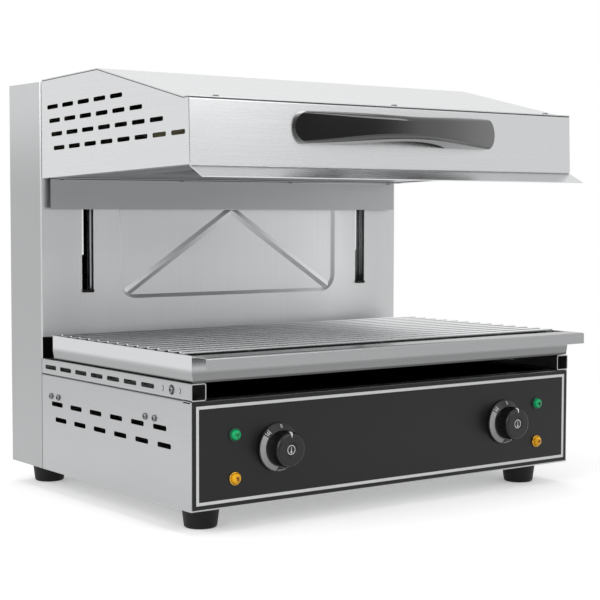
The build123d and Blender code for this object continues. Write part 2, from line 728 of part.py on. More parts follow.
def carriage_block(side):
    """Bearing block between an arm and the middle, bored for the rod and its bushes."""
    low_arm, high_arm = arm_span(side)
    arm_face = high_arm if side < 0 else low_arm
    across = sorted((arm_face, side * (GUIDE_X - CARRIAGE_INNER)))
    body = block(across, (GUIDE_Y - CARRIAGE_HALF_DEPTH, CARRIAGE_BACK), (CARRIAGE_Z, CARRIAGE_TOP))
    return body - rod_z(BUSH_RADIUS + PRESSED, side * GUIDE_X, GUIDE_Y, CARRIAGE_Z - 1, CARRIAGE_TOP + 1)


def guide_bushes():
    """Plain bushes at both ends of the two bearing blocks."""
    bushes = []
    for side in (-1, 1):
        for low in (CARRIAGE_Z, CARRIAGE_TOP - BUSH_LENGTH):
            sleeve = rod_z(BUSH_RADIUS, side * GUIDE_X, GUIDE_Y, low, low + BUSH_LENGTH)
            bore = rod_z(GUIDE_RADIUS + RUNNING, side * GUIDE_X, GUIDE_Y, low - 1, low + BUSH_LENGTH + 1)
            bushes.append(sleeve - bore)
    return group(*bushes)


def crossbar():
    """Plate behind the two bearing blocks, with the ferrules of the cables on its top edge."""
    across = (arm_span(-1)[0], arm_span(1)[1])
    bar = block(across, (CARRIAGE_BACK, CARRIAGE_BACK + HEAVY_PLATE), (CROSSBAR_Z, CROSSBAR_TOP))
    for x in (-PULLEY_X, PULLEY_X):
        bar += rod_z(FERRULE_RADIUS, x, CABLE_FRONT_Y, CROSSBAR_TOP, CROSSBAR_TOP + FERRULE_HEIGHT)
    return bar


def counterweight():
    """Steel bar on the rear ends of the cables, with chamfered edges."""
    half = HALF - WEIGHT_INSET
    front = CABLE_BACK_Y - WEIGHT_DEPTH / 2
    bar = block((-half, half), (front, front + WEIGHT_DEPTH), (WEIGHT_Z, WEIGHT_TOP))
    bar = chamfer(bar.edges().filter_by(Axis.X), WEIGHT_CHAMFER)
    for x in (-PULLEY_X, PULLEY_X):
        bar += rod_z(FERRULE_RADIUS, x, CABLE_BACK_Y, WEIGHT_TOP, WEIGHT_TOP + FERRULE_HEIGHT)
    return bar


def pulley(side):
    """Grooved wheel on its axle under the column's top."""
    half = PULLEY_WIDTH / 2
    root = PULLEY_PITCH_RADIUS - CABLE_RADIUS - PASS
    groove = CABLE_RADIUS + PASS
    shape = outline(
        (AXLE_RADIUS + RUNNING, -half),
        (PULLEY_RADIUS, -half),
        (PULLEY_RADIUS, -half + PULLEY_RIM),
        (root, -groove),
        (root, groove),
        (PULLEY_RADIUS, half - PULLEY_RIM),
        (PULLEY_RADIUS, half),
        (AXLE_RADIUS + RUNNING, half),
    )
    wheel = revolve(shape, Axis.Y)
    return Pos(side * PULLEY_X, PULLEY_Y, PULLEY_Z) * Rot(Z=-90) * wheel


def pulley_brackets():
    """Folded forks that hang from the column's cap."""
    half = PULLEY_WIDTH / 2 + BRACKET_GAP + BRACKET_WALL
    low = PULLEY_Z - AXLE_RADIUS * 3
    top = COLUMN_TOP - SHEET
    depth = (PULLEY_Y - BRACKET_DEPTH / 2, PULLEY_Y + BRACKET_DEPTH / 2)
    forks = []
    for side in (-1, 1):
        x = side * PULLEY_X
        line = ((x + half, low), (x + half, top), (x - half, top), (x - half, low))
        fork = along_y(folded(line, BRACKET_WALL), *depth)
        forks.append(fork - rod_x(AXLE_RADIUS + PRESSED, x - half - 1, x + half + 1, PULLEY_Y, PULLEY_Z))
    return group(*forks)


def pulley_axles():
    """Pins through the forks."""
    half = PULLEY_WIDTH / 2 + BRACKET_GAP + BRACKET_WALL + 1
    middles = (-PULLEY_X, PULLEY_X)
    return group(*[rod_x(AXLE_RADIUS, x - half, x + half, PULLEY_Y, PULLEY_Z) for x in middles])


def cable_runs(y, z):
    """Straight stretch of both cables down from the pulleys to a height."""
    return group(*[rod_z(CABLE_RADIUS, x, y, z, PULLEY_Z) for x in (-PULLEY_X, PULLEY_X)])


def cable_wraps():
    """Half turn of both cables over the pulleys."""
    wraps = []
    for x in (-PULLEY_X, PULLEY_X):
        start = Plane.XY.offset(PULLEY_Z) * (Pos(x, CABLE_FRONT_Y) * Circle(CABLE_RADIUS))
        wraps.append(revolve(start, Axis((x, PULLEY_Y, PULLEY_Z), (-1, 0, 0)), 180))
    return group(*wraps)


# ---- hood, drawn level with its rear lower edge on the X axis and then tilted into place

def hood_top_line():
    """Outer line of the top sheet, from the rear to the front."""
    return (
        (-HOOD_LEAN, HOOD_REAR_HEIGHT),
        (-HOOD_PEAK[0], HOOD_PEAK[1]),
        (-HOOD_DEPTH + HOOD_BROW, HOOD_FRONT_HEIGHT),
        (-HOOD_DEPTH, HOOD_FRONT_HEIGHT),
    )


def hood_top():
    """Top sheet from the rear over the peak down to the brow."""
    return HOOD_PLACE * along_x(folded(hood_top_line()), -HALF, HALF)


def hood_side():
    """Left side sheet under the top sheet, with four rows of vents and a lower flange."""
    rear, peak, brow, front = beside(hood_top_line(), SHEET + TOUCH / 2)
    front_y = -HOOD_DEPTH + SHEET
    upper = [(point.X, point.Y) for point in (rear, peak, brow)]
    shape = outline((0, 0), *upper, (front_y, front.Y), (front_y, 0))
    sheet = along_x(shape, -HALF, -INSIDE)
    flange = (-HOOD_DEPTH + 2 * SHEET + TOUCH, -PLATE_GAP - PLATE_FLANGE - BEND)
    sheet += block((-HALF, -INSIDE + SIDE_FLANGE), flange, (0, SHEET))
    places = [
        (-start - HOOD_VENT[0] / 2 - step * HOOD_VENT_PITCH, height)
        for (start, height), count in zip(HOOD_VENT_ROWS, HOOD_VENT_COUNTS)
        for step in range(count)
    ]
    return HOOD_PLACE * (sheet - vents(places, HOOD_VENT, -HALF - 1, -INSIDE + 1))


def hood_front():
    """Front sheet with its top edge turned in under the top sheet."""
    top = HOOD_FRONT_HEIGHT - SHEET - TOUCH / 2
    line = ((-HOOD_DEPTH + HOOD_BROW - BEND, top), (-HOOD_DEPTH, top), (-HOOD_DEPTH, 0))
    sheet = along_x(folded(line), -HALF, HALF)
    for side in (-1, 1):
        ends = sorted((side * (INSIDE - TOUCH), side * (HALF + 1)))
        sheet -= block(ends, (-HOOD_DEPTH + SHEET, 0), (-1, HOOD_FRONT_HEIGHT))
    return HOOD_PLACE * sheet


def hood_back():
    """Rear sheet between the sides, upright once the hood is tilted."""
    top = HOOD_REAR_HEIGHT - SHEET - TOUCH
    line = ((0, 0), (-top * tan(radians(HOOD_RAKE)), top))
    return HOOD_PLACE * along_x(folded(line), -INSIDE + TOUCH, INSIDE - TOUCH)


def hood_underside():
    """Sheet on the side flanges, with the window under the elements and its upright rim."""
    edge = INSIDE - TOUCH
    low = UNDERSIDE_Z
    high = low + SHEET
    sheet = block((-edge, edge), (-HOOD_DEPTH + 2 * SHEET + TOUCH, -SHEET - TOUCH), (low, high))
    half = WINDOW_HALF
    rear = -WINDOW_REAR
    front = rear - WINDOW_DEPTH
    rim = high + WINDOW_RIM - SHEET
    sheet += block((-half - SHEET, half + SHEET), (front - SHEET, rear + SHEET), (low, rim))
    return HOOD_PLACE * (sheet - block((-half, half), (front, rear), (low - 1, rim + 1)))


def front_deflector():
    """Flared skirt under the hood's front, with a flange behind the front sheet."""
    inner = -HOOD_DEPTH + SHEET
    line = ((inner, SKIRT_FLANGE), (inner, -SHEET), (-HOOD_DEPTH - SKIRT_REACH, -SKIRT_DROP))
    skirt = along_x(folded(line), -HALF, HALF)
    for side in (-1, 1):
        ends = sorted((side * (INSIDE - TOUCH), side * (HALF + 1)))
        skirt -= block(ends, (inner - TOUCH, 0), (0, SKIRT_FLANGE + 1))
    return HOOD_PLACE * skirt


def rear_plate():
    """Upright plate in front of the slots, hung from the underside by its top flange."""
    lowest = HOOD_Z + UNDERSIDE_Z * cos(radians(HOOD_RAKE)) - TOUCH
    line = (
        (PLATE_Y, lowest - PLATE_HEIGHT),
        (PLATE_Y, lowest),
        (PLATE_Y - PLATE_FLANGE, lowest),
    )
    return along_x(folded(line), -HALF + PLATE_INSET, HALF - PLATE_INSET)


def reflector_line():
    """Lower line of the reflector, from its front foot to its rear foot."""
    rear = -WINDOW_REAR + REFLECTOR_GAP
    front = -WINDOW_REAR - WINDOW_DEPTH - REFLECTOR_GAP
    low = UNDERSIDE_Z + SHEET
    high = low + REFLECTOR_HEIGHT
    return (
        (front - REFLECTOR_FOOT, low),
        (front, low),
        (front + REFLECTOR_SLOPE, high),
        (rear - REFLECTOR_SLOPE, high),
        (rear, low),
        (rear + REFLECTOR_FOOT, low),
    )


def reflector_half():
    """Half of the reflector's inner length."""
    return WINDOW_HALF + REFLECTOR_GAP


def tube_rows():
    """Depths of the element's legs, centred in the window."""
    middle = -WINDOW_REAR - WINDOW_DEPTH / 2
    first = middle + TUBE_PITCH * (TUBE_LEGS - 1) / 2
    return [first - step * TUBE_PITCH for step in range(TUBE_LEGS)]


def reflector():
    """Bright trough over the elements with two end plates, holed for the tubes' tails."""
    half = reflector_half()
    line = reflector_line()
    trough = along_x(folded(line), -half, half)
    above = [(point.X, point.Y) for point in beside(line, SHEET)[1:5]]
    end = outline(line[1], *above, line[4])
    for side in (-1, 1):
        across = sorted((side * half, side * (half + SHEET)))
        trough += along_x(end, *across)
        for row in (tube_rows()[0], tube_rows()[-1]):
            trough -= rod_x(TUBE_RADIUS + PASS, across[0] - 1, across[1] + 1, row, TUBE_HEIGHT)
    return HOOD_PLACE * trough


def insulation():
    """Mineral wool slab on top of the reflector."""
    line = reflector_line()
    low = line[2][1] + SHEET
    inset = REFLECTOR_GAP
    half = reflector_half()
    depth = (line[2][0] + inset, line[3][0] - inset)
    return HOOD_PLACE * block((-half, half), depth, (low, low + INSULATION))


def heating_element(side):
    """Tubular element bent into a serpentine, its tails through the reflector's end."""
    outer = reflector_half()
    tail = side * (outer + SHEET + TUBE_TAIL)
    far = side * (outer - TUBE_END_GAP)
    near = side * TUBE_MIDDLE_GAP
    rows = tube_rows()
    route = [(tail, rows[0])]
    for place, (here, after) in enumerate(zip(rows, rows[1:])):
        turn_x = far if place % 2 else near
        route += [(turn_x, here), (turn_x, after)]
    route.append((tail, rows[-1]))
    path = Plane.XY.offset(TUBE_HEIGHT) * FilletPolyline(*route, radius=TUBE_TURN)
    section = Plane(origin=path @ 0, z_dir=path % 0) * Circle(TUBE_RADIUS)
    return HOOD_PLACE * sweep(section, path=path)


def element_hangers():
    """Comb plates under the reflector that hold the legs of both elements."""
    top = UNDERSIDE_Z + SHEET + REFLECTOR_HEIGHT
    low = TUBE_HEIGHT - TUBE_RADIUS - HANGER_LIP
    rows = tube_rows()
    ends = (rows[-1] - TUBE_PITCH / 3, rows[0] + TUBE_PITCH / 3)
    combs = []
    for x in [side * spot for side in (-1, 1) for spot in HANGER_SPOTS]:
        comb = block((x - HANGER_WALL / 2, x + HANGER_WALL / 2), ends, (low, top))
        hold = (TUBE_RADIUS + TOUCH, x - HANGER_WALL, x + HANGER_WALL)
        comb -= [rod_x(*hold, row, TUBE_HEIGHT) for row in rows]
        combs.append(comb)
    return HOOD_PLACE * group(*combs)


def handle_section(x, reach, blend):
    """One cross-section of the handle; blend runs from 0 at the face to 1 at the full reach."""
    low_base, high_base = HANDLE_BASE
    low = low_base + (HANDLE_NOSE[0] - low_base) * blend
    high = high_base + (HANDLE_NOSE[1] - high_base) * blend - HANDLE_SAG * blend ** 4
    back = -HOOD_DEPTH
    front = back - reach
    mouth = HANDLE_ROUND * 0.9 * min(1.0, reach / HANDLE_REACH + 0.25)
    shape = make_face(FilletPolyline(
        (back, low_base), (back, high_base), (front, high), (front, low),
        radius=(0.4, 0.4, mouth, mouth), close=True,
    ))
    return Plane.YZ.offset(x) * shape


def handle():
    """Bow handle: a lofted bar that sweeps out from two long feet, over a finger gap."""
    stations = []
    count = 4
    for step in range(count + 1):
        x = HANDLE_CREASE * (1 - step / count)
        sweep_share = cos(radians(90) * x / HANDLE_CREASE)
        reach = HANDLE_CREASE_REACH + (HANDLE_REACH - HANDLE_CREASE_REACH) * sweep_share
        stations.append((x, reach))
    tip = (HANDLE_HALF, HANDLE_TIP_REACH)
    row = [tip, *stations]
    full = [(-x, reach) for x, reach in row] + [(x, reach) for x, reach in reversed(row[:-1])]
    faces = [handle_section(x, reach, (reach / HANDLE_REACH) ** 2) for x, reach in full]
    bar = loft(faces) & handle_ends()
    return HOOD_PLACE * (bar - finger_gap())


def handle_ends():
    """Prism with the handle's length and rounded ends, as seen from the front."""
    low, high = HANDLE_BASE
    x = HANDLE_HALF - HANDLE_END
    middle = (low + high) / 2
    right = ThreePointArc((x, high), (HANDLE_HALF, middle), (x, low))
    left = ThreePointArc((-x, low), (-HANDLE_HALF, middle), (-x, high))
    lines = [Line(left @ 1, right @ 0), Line(right @ 1, left @ 0)]
    face = make_face([right.edge(), left.edge(), *[line.edge() for line in lines]])
    return along_y(face, -HOOD_DEPTH - HANDLE_REACH - 1, -HOOD_DEPTH)


def finger_gap():
    """Cutter for the space behind the bow, a round-backed opening between the feet."""
    half = HANDLE_HALF - HANDLE_FOOT
    rise = HANDLE_REACH - HANDLE_WALL
    edge = -HOOD_DEPTH + 1
    corner = ThreePointArc((-half, edge), (0, -HOOD_DEPTH - rise), (half, edge))
    face = make_face([corner.edge(), Line((half, edge), (-half, edge)).edge()])
    return along_z(face, HANDLE_BASE[0] - 5, HANDLE_BASE[1] + 5)


# ---- screws and services

def side_screws():
    """Pan heads on both side sheets of the base and on both rails."""
    heads = []
    spots = [*SIDE_SCREWS, (RAIL_SCREW_Y, BASE_HEIGHT + RAIL / 2)]
    for side in (-1, 1):
        for y, z in spots:
            heads.append(Pos(side * HALF, y, FLOOR_Z + z) * Rot(Y=side * 90) * screw_head())
    return group(*heads)


def brow_screws():
    """Three pan heads on the level strip of the hood's top sheet."""
    y = -HOOD_DEPTH + HOOD_BROW / 2
    spots = (-HALF + BROW_SCREW_INSET, 0, HALF - BROW_SCREW_INSET)
    return HOOD_PLACE * group(*[Pos(x, y, HOOD_FRONT_HEIGHT) * screw_head() for x in spots])


def plate_screws():
    """Pan heads under the flange of the rear plate."""
    z = HOOD_Z + UNDERSIDE_Z * cos(radians(HOOD_RAKE)) - TOUCH - SHEET
    y = PLATE_Y - PLATE_FLANGE / 2
    spots = [side * (HALF - inset) for side in (-1, 1) for inset in PLATE_SCREW_INSETS]
    return group(*[Pos(x, y, z) * Rot(X=180) * screw_head(*PLATE_SCREW) for x in spots])


def cable_gland():
    """Round gland in the back cover, bored for the supply cable."""
    inner = BACK_Y - SHEET
    return turned_y(GLAND_X, FLOOR_Z + GLAND_HEIGHT, (
        (GLAND_BORE, inner - GLAND_REACH),
        (GLAND_RADIUS, inner - GLAND_REACH),
        (GLAND_RADIUS, inner),
        (GLAND_NECK, inner),
        (GLAND_NECK, BACK_Y),
        (GLAND_RADIUS, BACK_Y),
        (GLAND_RADIUS, BACK_Y + GLAND_REACH / 2),
        (GLAND_NECK, BACK_Y + GLAND_REACH),
        (GLAND_BORE, BACK_Y + GLAND_REACH),
    ))


def terminal_block():
    """Connection block on the floor of the column, with a row of wire holes."""
    width, depth, height = TERMINALS
    back = BACK_Y - SHEET - TERMINALS_INSET
    low = FLOOR_Z + SHEET
    body = block((GLAND_X - width / 2, GLAND_X + width / 2), (back - depth, back), (low, low + height))
    half = TERMINAL_HOLE / 2
    holes = [
        block((x - half, x + half), (back - TERMINAL_HOLE, back), (low + height / 2, low + height))
        for x in (GLAND_X - TERMINAL_PITCH, GLAND_X, GLAND_X + TERMINAL_PITCH)
    ]
    return body - holes


def build_pieces():
    """Every node's name and shape, before the move to the centred origin."""
    pieces = {
        "feet": feet(),
        "base_floor": base_floor(),
        "base_side_left": base_side(),
        "base_side_right": other_side(base_side()),
        "control_panel": control_panel(),
        "control_fascia": control_fascia(),
        "base_top": base_top(),
        "pan_rail_left": pan_rail(),
        "pan_rail_right": other_side(pan_rail()),
        "pan_glides": pan_glides(),
        "regulators": both_sides(regulator),
        "knob_bezels": both_sides(knob_bezel),
        "lamps_green": both_sides(lamp, LAMP_HEIGHTS["green"]),
        "lamps_amber": both_sides(lamp, LAMP_HEIGHTS["amber"]),
        "lamp_bezels": lamp_bezels(),
        "drip_pan": drip_pan(),
        "rod_grid": rod_grid(),
        "column_wrap": column_wrap(),
        "column_back": column_back(),
        "column_top": column_top(),
        "slot_bumpers": slot_bumpers(),
        "guide_rods": both_sides(guide_rod),
        "guide_clamps": guide_clamps(),
        "guide_bushes": guide_bushes(),
        "crossbar": crossbar(),
        "counterweight": counterweight(),
        "pulley_brackets": pulley_brackets(),
        "pulley_axles": pulley_axles(),
        "cable_front_runs": cable_runs(CABLE_FRONT_Y, CROSSBAR_TOP + FERRULE_HEIGHT),
        "cable_rear_runs": cable_runs(CABLE_BACK_Y, WEIGHT_TOP + FERRULE_HEIGHT),
        "cable_wraps": cable_wraps(),
        "hood_top": hood_top(),
        "hood_side_left": hood_side(),
        "hood_side_right": other_side(hood_side()),
        "hood_front": hood_front(),
        "hood_back": hood_back(),
        "hood_underside": hood_underside(),
        "front_deflector": front_deflector(),
        "rear_plate": rear_plate(),
        "reflector": reflector(),
        "insulation": insulation(),
        "element_hangers": element_hangers(),
        "handle": handle(),
        "side_screws": side_screws(),
        "hood_screws": group(brow_screws(), plate_screws()),
        "cable_gland": cable_gland(),
        "terminal_block": terminal_block(),
    }
    for name, side in (("left", -1), ("right", 1)):
        pieces["knob_" + name] = knob(side)
        pieces["knob_spindle_" + name] = knob_spindle(side)
        pieces["arm_" + name] = arm(side)
        pieces["carriage_block_" + name] = carriage_block(side)
        pieces["pulley_" + name] = pulley(side)
        pieces["heating_element_" + name] = heating_element(side)
    return pieces


os.makedirs("parts", exist_ok=True)
PIECES = build_pieces()
BOXES = [piece.bounding_box() for piece in PIECES.values()]
SHIFT_Y = -(min(box.min.Y for box in BOXES) + max(box.max.Y for box in BOXES)) / 2
print("moved along Y by", round(SHIFT_Y, 4))
for node, piece in PIECES.items():
    export_step(Pos(0, SHIFT_Y, 0) * piece, "parts/" + node + ".step")
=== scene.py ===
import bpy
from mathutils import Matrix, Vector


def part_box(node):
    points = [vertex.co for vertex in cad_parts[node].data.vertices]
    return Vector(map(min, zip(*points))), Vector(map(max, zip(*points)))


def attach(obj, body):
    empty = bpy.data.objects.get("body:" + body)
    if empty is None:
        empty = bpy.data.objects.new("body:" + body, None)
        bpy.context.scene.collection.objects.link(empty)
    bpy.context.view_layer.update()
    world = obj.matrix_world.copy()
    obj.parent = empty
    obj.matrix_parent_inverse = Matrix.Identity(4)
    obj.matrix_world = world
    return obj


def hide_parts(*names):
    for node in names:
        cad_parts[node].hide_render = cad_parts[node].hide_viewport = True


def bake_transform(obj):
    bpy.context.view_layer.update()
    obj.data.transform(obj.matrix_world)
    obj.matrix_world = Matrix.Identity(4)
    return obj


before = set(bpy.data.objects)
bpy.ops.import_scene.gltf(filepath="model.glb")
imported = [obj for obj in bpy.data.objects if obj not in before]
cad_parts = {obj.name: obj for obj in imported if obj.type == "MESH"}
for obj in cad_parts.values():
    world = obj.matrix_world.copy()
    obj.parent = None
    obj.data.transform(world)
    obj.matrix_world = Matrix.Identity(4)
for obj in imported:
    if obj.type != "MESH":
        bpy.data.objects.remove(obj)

"""A worktop cheese melter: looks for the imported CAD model, in metres and in the model's own frame.

X runs to the user's right, Y to the back and Z up from the surface that the feet stand on.
"""

import logging
import math
from dataclasses import dataclass, field
from enum import Enum

import bmesh
import bpy
from bpy.types import Material, Mesh, Node, NodeSocket, NodeTree
from bpy.types import Object as Piece
from mathutils import Matrix, Vector

LOG = logging.getLogger("cheese_melter")
MM = 0.001
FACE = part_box("control_fascia")[0].y    # front of the control panel
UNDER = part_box("base_floor")[0].z       # underside of the base, on top of the feet
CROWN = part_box("column_top")[1].z       # top of the column
HALF_WIDTH = 300 * MM                   # half of the casing's width
HOOD_CORNER = Vector((0, FACE + 357.5 * MM, CROWN - 124.3 * MM))    # middle of the hood's rear lower edge
HOOD_TILT = Matrix.Rotation(math.radians(-1.7), 4, "X")             # lifts the hood's front
BOX_FACES = ((0, 1, 3, 2), (4, 6, 7, 5), (0, 4, 5, 1), (2, 3, 7, 6), (0, 2, 6, 4), (1, 5, 7, 3))
ROUND = 40                              # steps round a lens, a rim or a printed ring
PINHOLE = 0.02                          # hole of a closed disc, as a share of its radius
WHITE = (1, 1, 1, 1)


# ---- nodes, colours and meshes


def fill(tree: NodeTree, node: Node, inputs: dict) -> Node:
    """Fills inputs of a node.

    Args:
        tree: The node tree.
        node: The node.
        inputs: Input names or places, each with a constant, an output, or a node for its first live output.

    Returns:
        The node.
    """
    for name, value in inputs.items():
        if isinstance(value, Node):
            value = next(output for output in value.outputs if output.enabled)
        if isinstance(value, NodeSocket):
            tree.links.new(value, node.inputs[name])
        else:
            node.inputs[name].default_value = value
    return node


def add_node(tree: NodeTree, kind: str, inputs: dict | None = None, **settings: object) -> Node:
    """Adds one node to a shader or geometry tree.

    Args:
        tree: The node tree.
        kind: The node's type name.
        inputs: What fills its inputs, as fill takes it.
        settings: The node's own properties.

    Returns:
        The new node.
    """
    node = tree.nodes.new(kind)
    for name, value in settings.items():
        setattr(node, name, value)
    return fill(tree, node, inputs or {})


def linear(colour: str) -> tuple[float, float, float, float]:
    """Turns an sRGB hex colour to linear.

    Args:
        colour: Six hex digits.

    Returns:
        Red, green, blue and an alpha of 1.
    """
    parts = [int(colour[place:place + 2], 16) / 255 for place in (0, 2, 4)]
    return (*[part / 12.92 if part <= 0.04045 else ((part + 0.055) / 1.055) ** 2.4 for part in parts], 1.0)


def shade(colour: str, share: float) -> tuple[float, float, float, float]:
    """Gives an sRGB hex colour as a linear one, made lighter or darker by a share of itself."""
    return (*[min(1.0, part * share) for part in linear(colour)[:3]], 1.0)


def mesh_object(name: str, mesh: bpy.types.ID) -> Piece:
    """Puts a mesh, a curve, a lamp or a camera into the scene at the origin.

    Args:
        name: The object's name.
        mesh: Its data.

    Returns:
        The object.
    """
    piece = bpy.data.objects.new(name, mesh)
    bpy.context.scene.collection.objects.link(piece)
    return piece


def mesh_from(name: str, points: list, faces: list | tuple) -> Piece:
    """Makes an object from points and faces, with its normals turned outwards.

    Args:
        name: The object's name.
        points: Places in metres.
        faces: Lists of point numbers.

    Returns:
        The object.
    """
    mesh = bpy.data.meshes.new(name)
    mesh.from_pydata([tuple(point) for point in points], [], faces)
    shell = bmesh.new()
    shell.from_mesh(mesh)
    bmesh.ops.recalc_face_normals(shell, faces=shell.faces)
    shell.to_mesh(mesh)
    shell.free()
    return mesh_object(name, mesh)


def block(name: str, x: tuple, y: tuple, z: tuple) -> Piece:
    """Makes a box between a low and a high value along each axis."""
    return mesh_from(name, [(a, b, c) for a in x for b in y for c in z], BOX_FACES)


def sweep(name: str, points: list, closed: bool = False) -> Piece:
    """Makes a bar from the four corners of each section along it.

    Args:
        name: The object's name.
        points: Corners in metres, section after section, in rows of two.
        closed: Whether the last section joins the first; otherwise both ends get caps.

    Returns:
        The object.
    """
    last = len(points) - 4
    faces = []
    for here in range(0, last + 4 if closed else last, 4):
        after = (here + 4) % len(points)
        faces += [(here + one, here + two, after + two, after + one)
                  for one, two in ((0, 1), (1, 3), (3, 2), (2, 0))]
    if not closed:
        faces += [(0, 1, 3, 2), (last, last + 1, last + 3, last + 2)]
    return mesh_from(name, points, faces)


def disc(name: str, x: float, y: float, z: float, outer: float, inner: float, half: float) -> Piece:
    """Makes a thin disc or ring that faces the user.

    Args:
        name: The object's name.
        x: Middle, to the right.
        y: Middle, to the back.
        z: Middle, upwards.
        outer: Outer radius.
        inner: Inner radius, or 0 for a disc, which keeps a hole too small to see.
        half: Half of the thickness.

    Returns:
        The object.
    """
    points = []
    for step in range(ROUND):
        turn = 2 * math.pi * step / ROUND
        points += [(x + radius * math.sin(turn), y + depth, z + radius * math.cos(turn))
                   for radius in (outer, max(inner, outer * PINHOLE)) for depth in (-half, half)]
    return sweep(name, points, closed=True)


def turned(name: str, x: float, z: float, outline: tuple, closed: bool) -> Piece:
    """Makes a round piece about a line to the back, with its share of the full radius kept in "span".

    Args:
        name: The object's name.
        x: Place of its line, to the right.
        z: Place of its line, upwards.
        outline: Radii and depths behind the panel, in millimetres.
        closed: Whether the outline closes on itself, as a ring's does; otherwise its ends get caps.

    Returns:
        The object.
    """
    points, faces = [], []
    for radius, depth in outline:
        for step in range(ROUND):
            turn = 2 * math.pi * step / ROUND
            points.append((x + radius * MM * math.sin(turn), FACE + depth * MM,
                           z + radius * MM * math.cos(turn)))
    last = len(outline) - 1
    for row in range(last + 1 if closed else last):
        here, after = row * ROUND, (row + 1) % len(outline) * ROUND
        faces += [(here + step, here + (step + 1) % ROUND, after + (step + 1) % ROUND, after + step)
                  for step in range(ROUND)]
    widest = max(radius for radius, _ in outline)
    spans = [radius / widest for radius, _ in outline for _ in range(ROUND)]
    for row in () if closed else (0, last):
        points.append((x, FACE + outline[row][1] * MM, z))
        spans.append(0.0)
        here = row * ROUND
        faces += [(here + step, here + (step + 1) % ROUND, len(points) - 1) for step in range(ROUND)]
    piece = mesh_from(name, points, faces)
    piece.data.attributes.new("span", "FLOAT", "POINT").data.foreach_set("value", spans)
    return piece


def join(name: str, parts: list[Piece]) -> Piece:
    """Puts several meshes into one object.

    Args:
        name: The new object's name.
        parts: The objects, which are removed.

    Returns:
        The new object.
    """
    shell = bmesh.new()
    for part in parts:
        shell.from_mesh(part.data)
        bpy.data.objects.remove(part)
    mesh = bpy.data.meshes.new(name)
    shell.to_mesh(mesh)
    shell.free()
    return mesh_object(name, mesh)


def soften(piece: Piece, degrees: float = 35.0) -> None:
    """Shades a piece smooth, apart from edges sharper than an angle."""
    piece.data.shade_smooth()
    piece.data.set_sharp_from_angle(angle=math.radians(degrees))


def paint(piece: Piece, material: Material) -> Piece:
    """Gives a piece one material, in place of any that it has.

    Args:
        piece: The piece.
        material: The material.

    Returns:
        The piece.
    """
    piece.data.materials.clear()
    piece.data.materials.append(material)
    return piece


def seat(piece: Piece, body: str, slot: str, *nodes: str) -> None:
    """Lets a piece ride on a body.

    Args:
        piece: The piece.
        body: The body's name.
        slot: The material slot's name; not used.
        nodes: CAD nodes that it stands for.
    """
    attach(piece, body)
    if nodes:
        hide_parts(*nodes)
    LOG.info("made %s on %s", piece.name, body)


def dress(material: Material, *nodes: str) -> None:
    """Gives CAD nodes a material in every one of their slots.

    Args:
        material: The material.
        nodes: The nodes' names.
    """
    for name in nodes:
        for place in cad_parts[name].material_slots:
            place.material = material
        LOG.info("dressed %s in %s", name, material.name)


# ---- finishes


def start_material(name: str) -> tuple[Material, NodeTree, Node, NodeSocket]:
    """Starts a material.

    Args:
        name: The material's name.

    Returns:
        The material, its tree, its shader and the output that holds the place on the object.
    """
    material = bpy.data.materials.new(name)
    material.use_nodes = True
    tree = material.node_tree
    place = add_node(tree, "ShaderNodeTexCoord").outputs["Object"]
    return material, tree, tree.nodes["Principled BSDF"], place


class Axis(Enum):
    """An axis of the object."""

    ACROSS = "X"
    DEEP = "Y"
    HIGH = "Z"


class Grain(Enum):
    """Line along which a sheet was ground, as a share of the long scale on each axis."""

    ALONG_X = (1, 0, 0)
    ALONG_Y = (0, 1, 0)
    ALONG_Z = (0, 0, 1)


@dataclass(frozen=True)
class Zone:
    """A tone set past a level along one axis, to match the photograph's light, not a real finish."""

    axis: Axis
    level: float                  # metres
    share: float                  # colour there as a share of the sheet's own
    soft: float = 1.0 * MM        # half of the change's width
    side: int = 1                 # 1 for above the level, -1 for below it

    def blend(self, tree: NodeTree, place: NodeSocket, colour: Node) -> Node:
        """Adds the zone to a colour.

        Args:
            tree: The material's tree.
            place: The output that holds the place on the object.
            colour: The node that holds the colour so far.

        Returns:
            The node that holds the colour with the zone.
        """
        parts = add_node(tree, "ShaderNodeSeparateXYZ", {"Vector": place})
        inside = add_node(tree, "ShaderNodeMapRange", {
            "Value": parts.outputs[self.axis.value], "From Min": self.level - self.side * self.soft,
            "From Max": self.level + self.side * self.soft}, interpolation_type="SMOOTHSTEP")
        toned = add_node(tree, "ShaderNodeMix", {
            "Factor": 1.0, "A": colour, "B": (self.share, self.share, self.share, 1.0)},
            data_type="RGBA", blend_type="MULTIPLY")
        return add_node(tree, "ShaderNodeMix", {"Factor": inside, "A": colour, "B": toned}, data_type="RGBA")


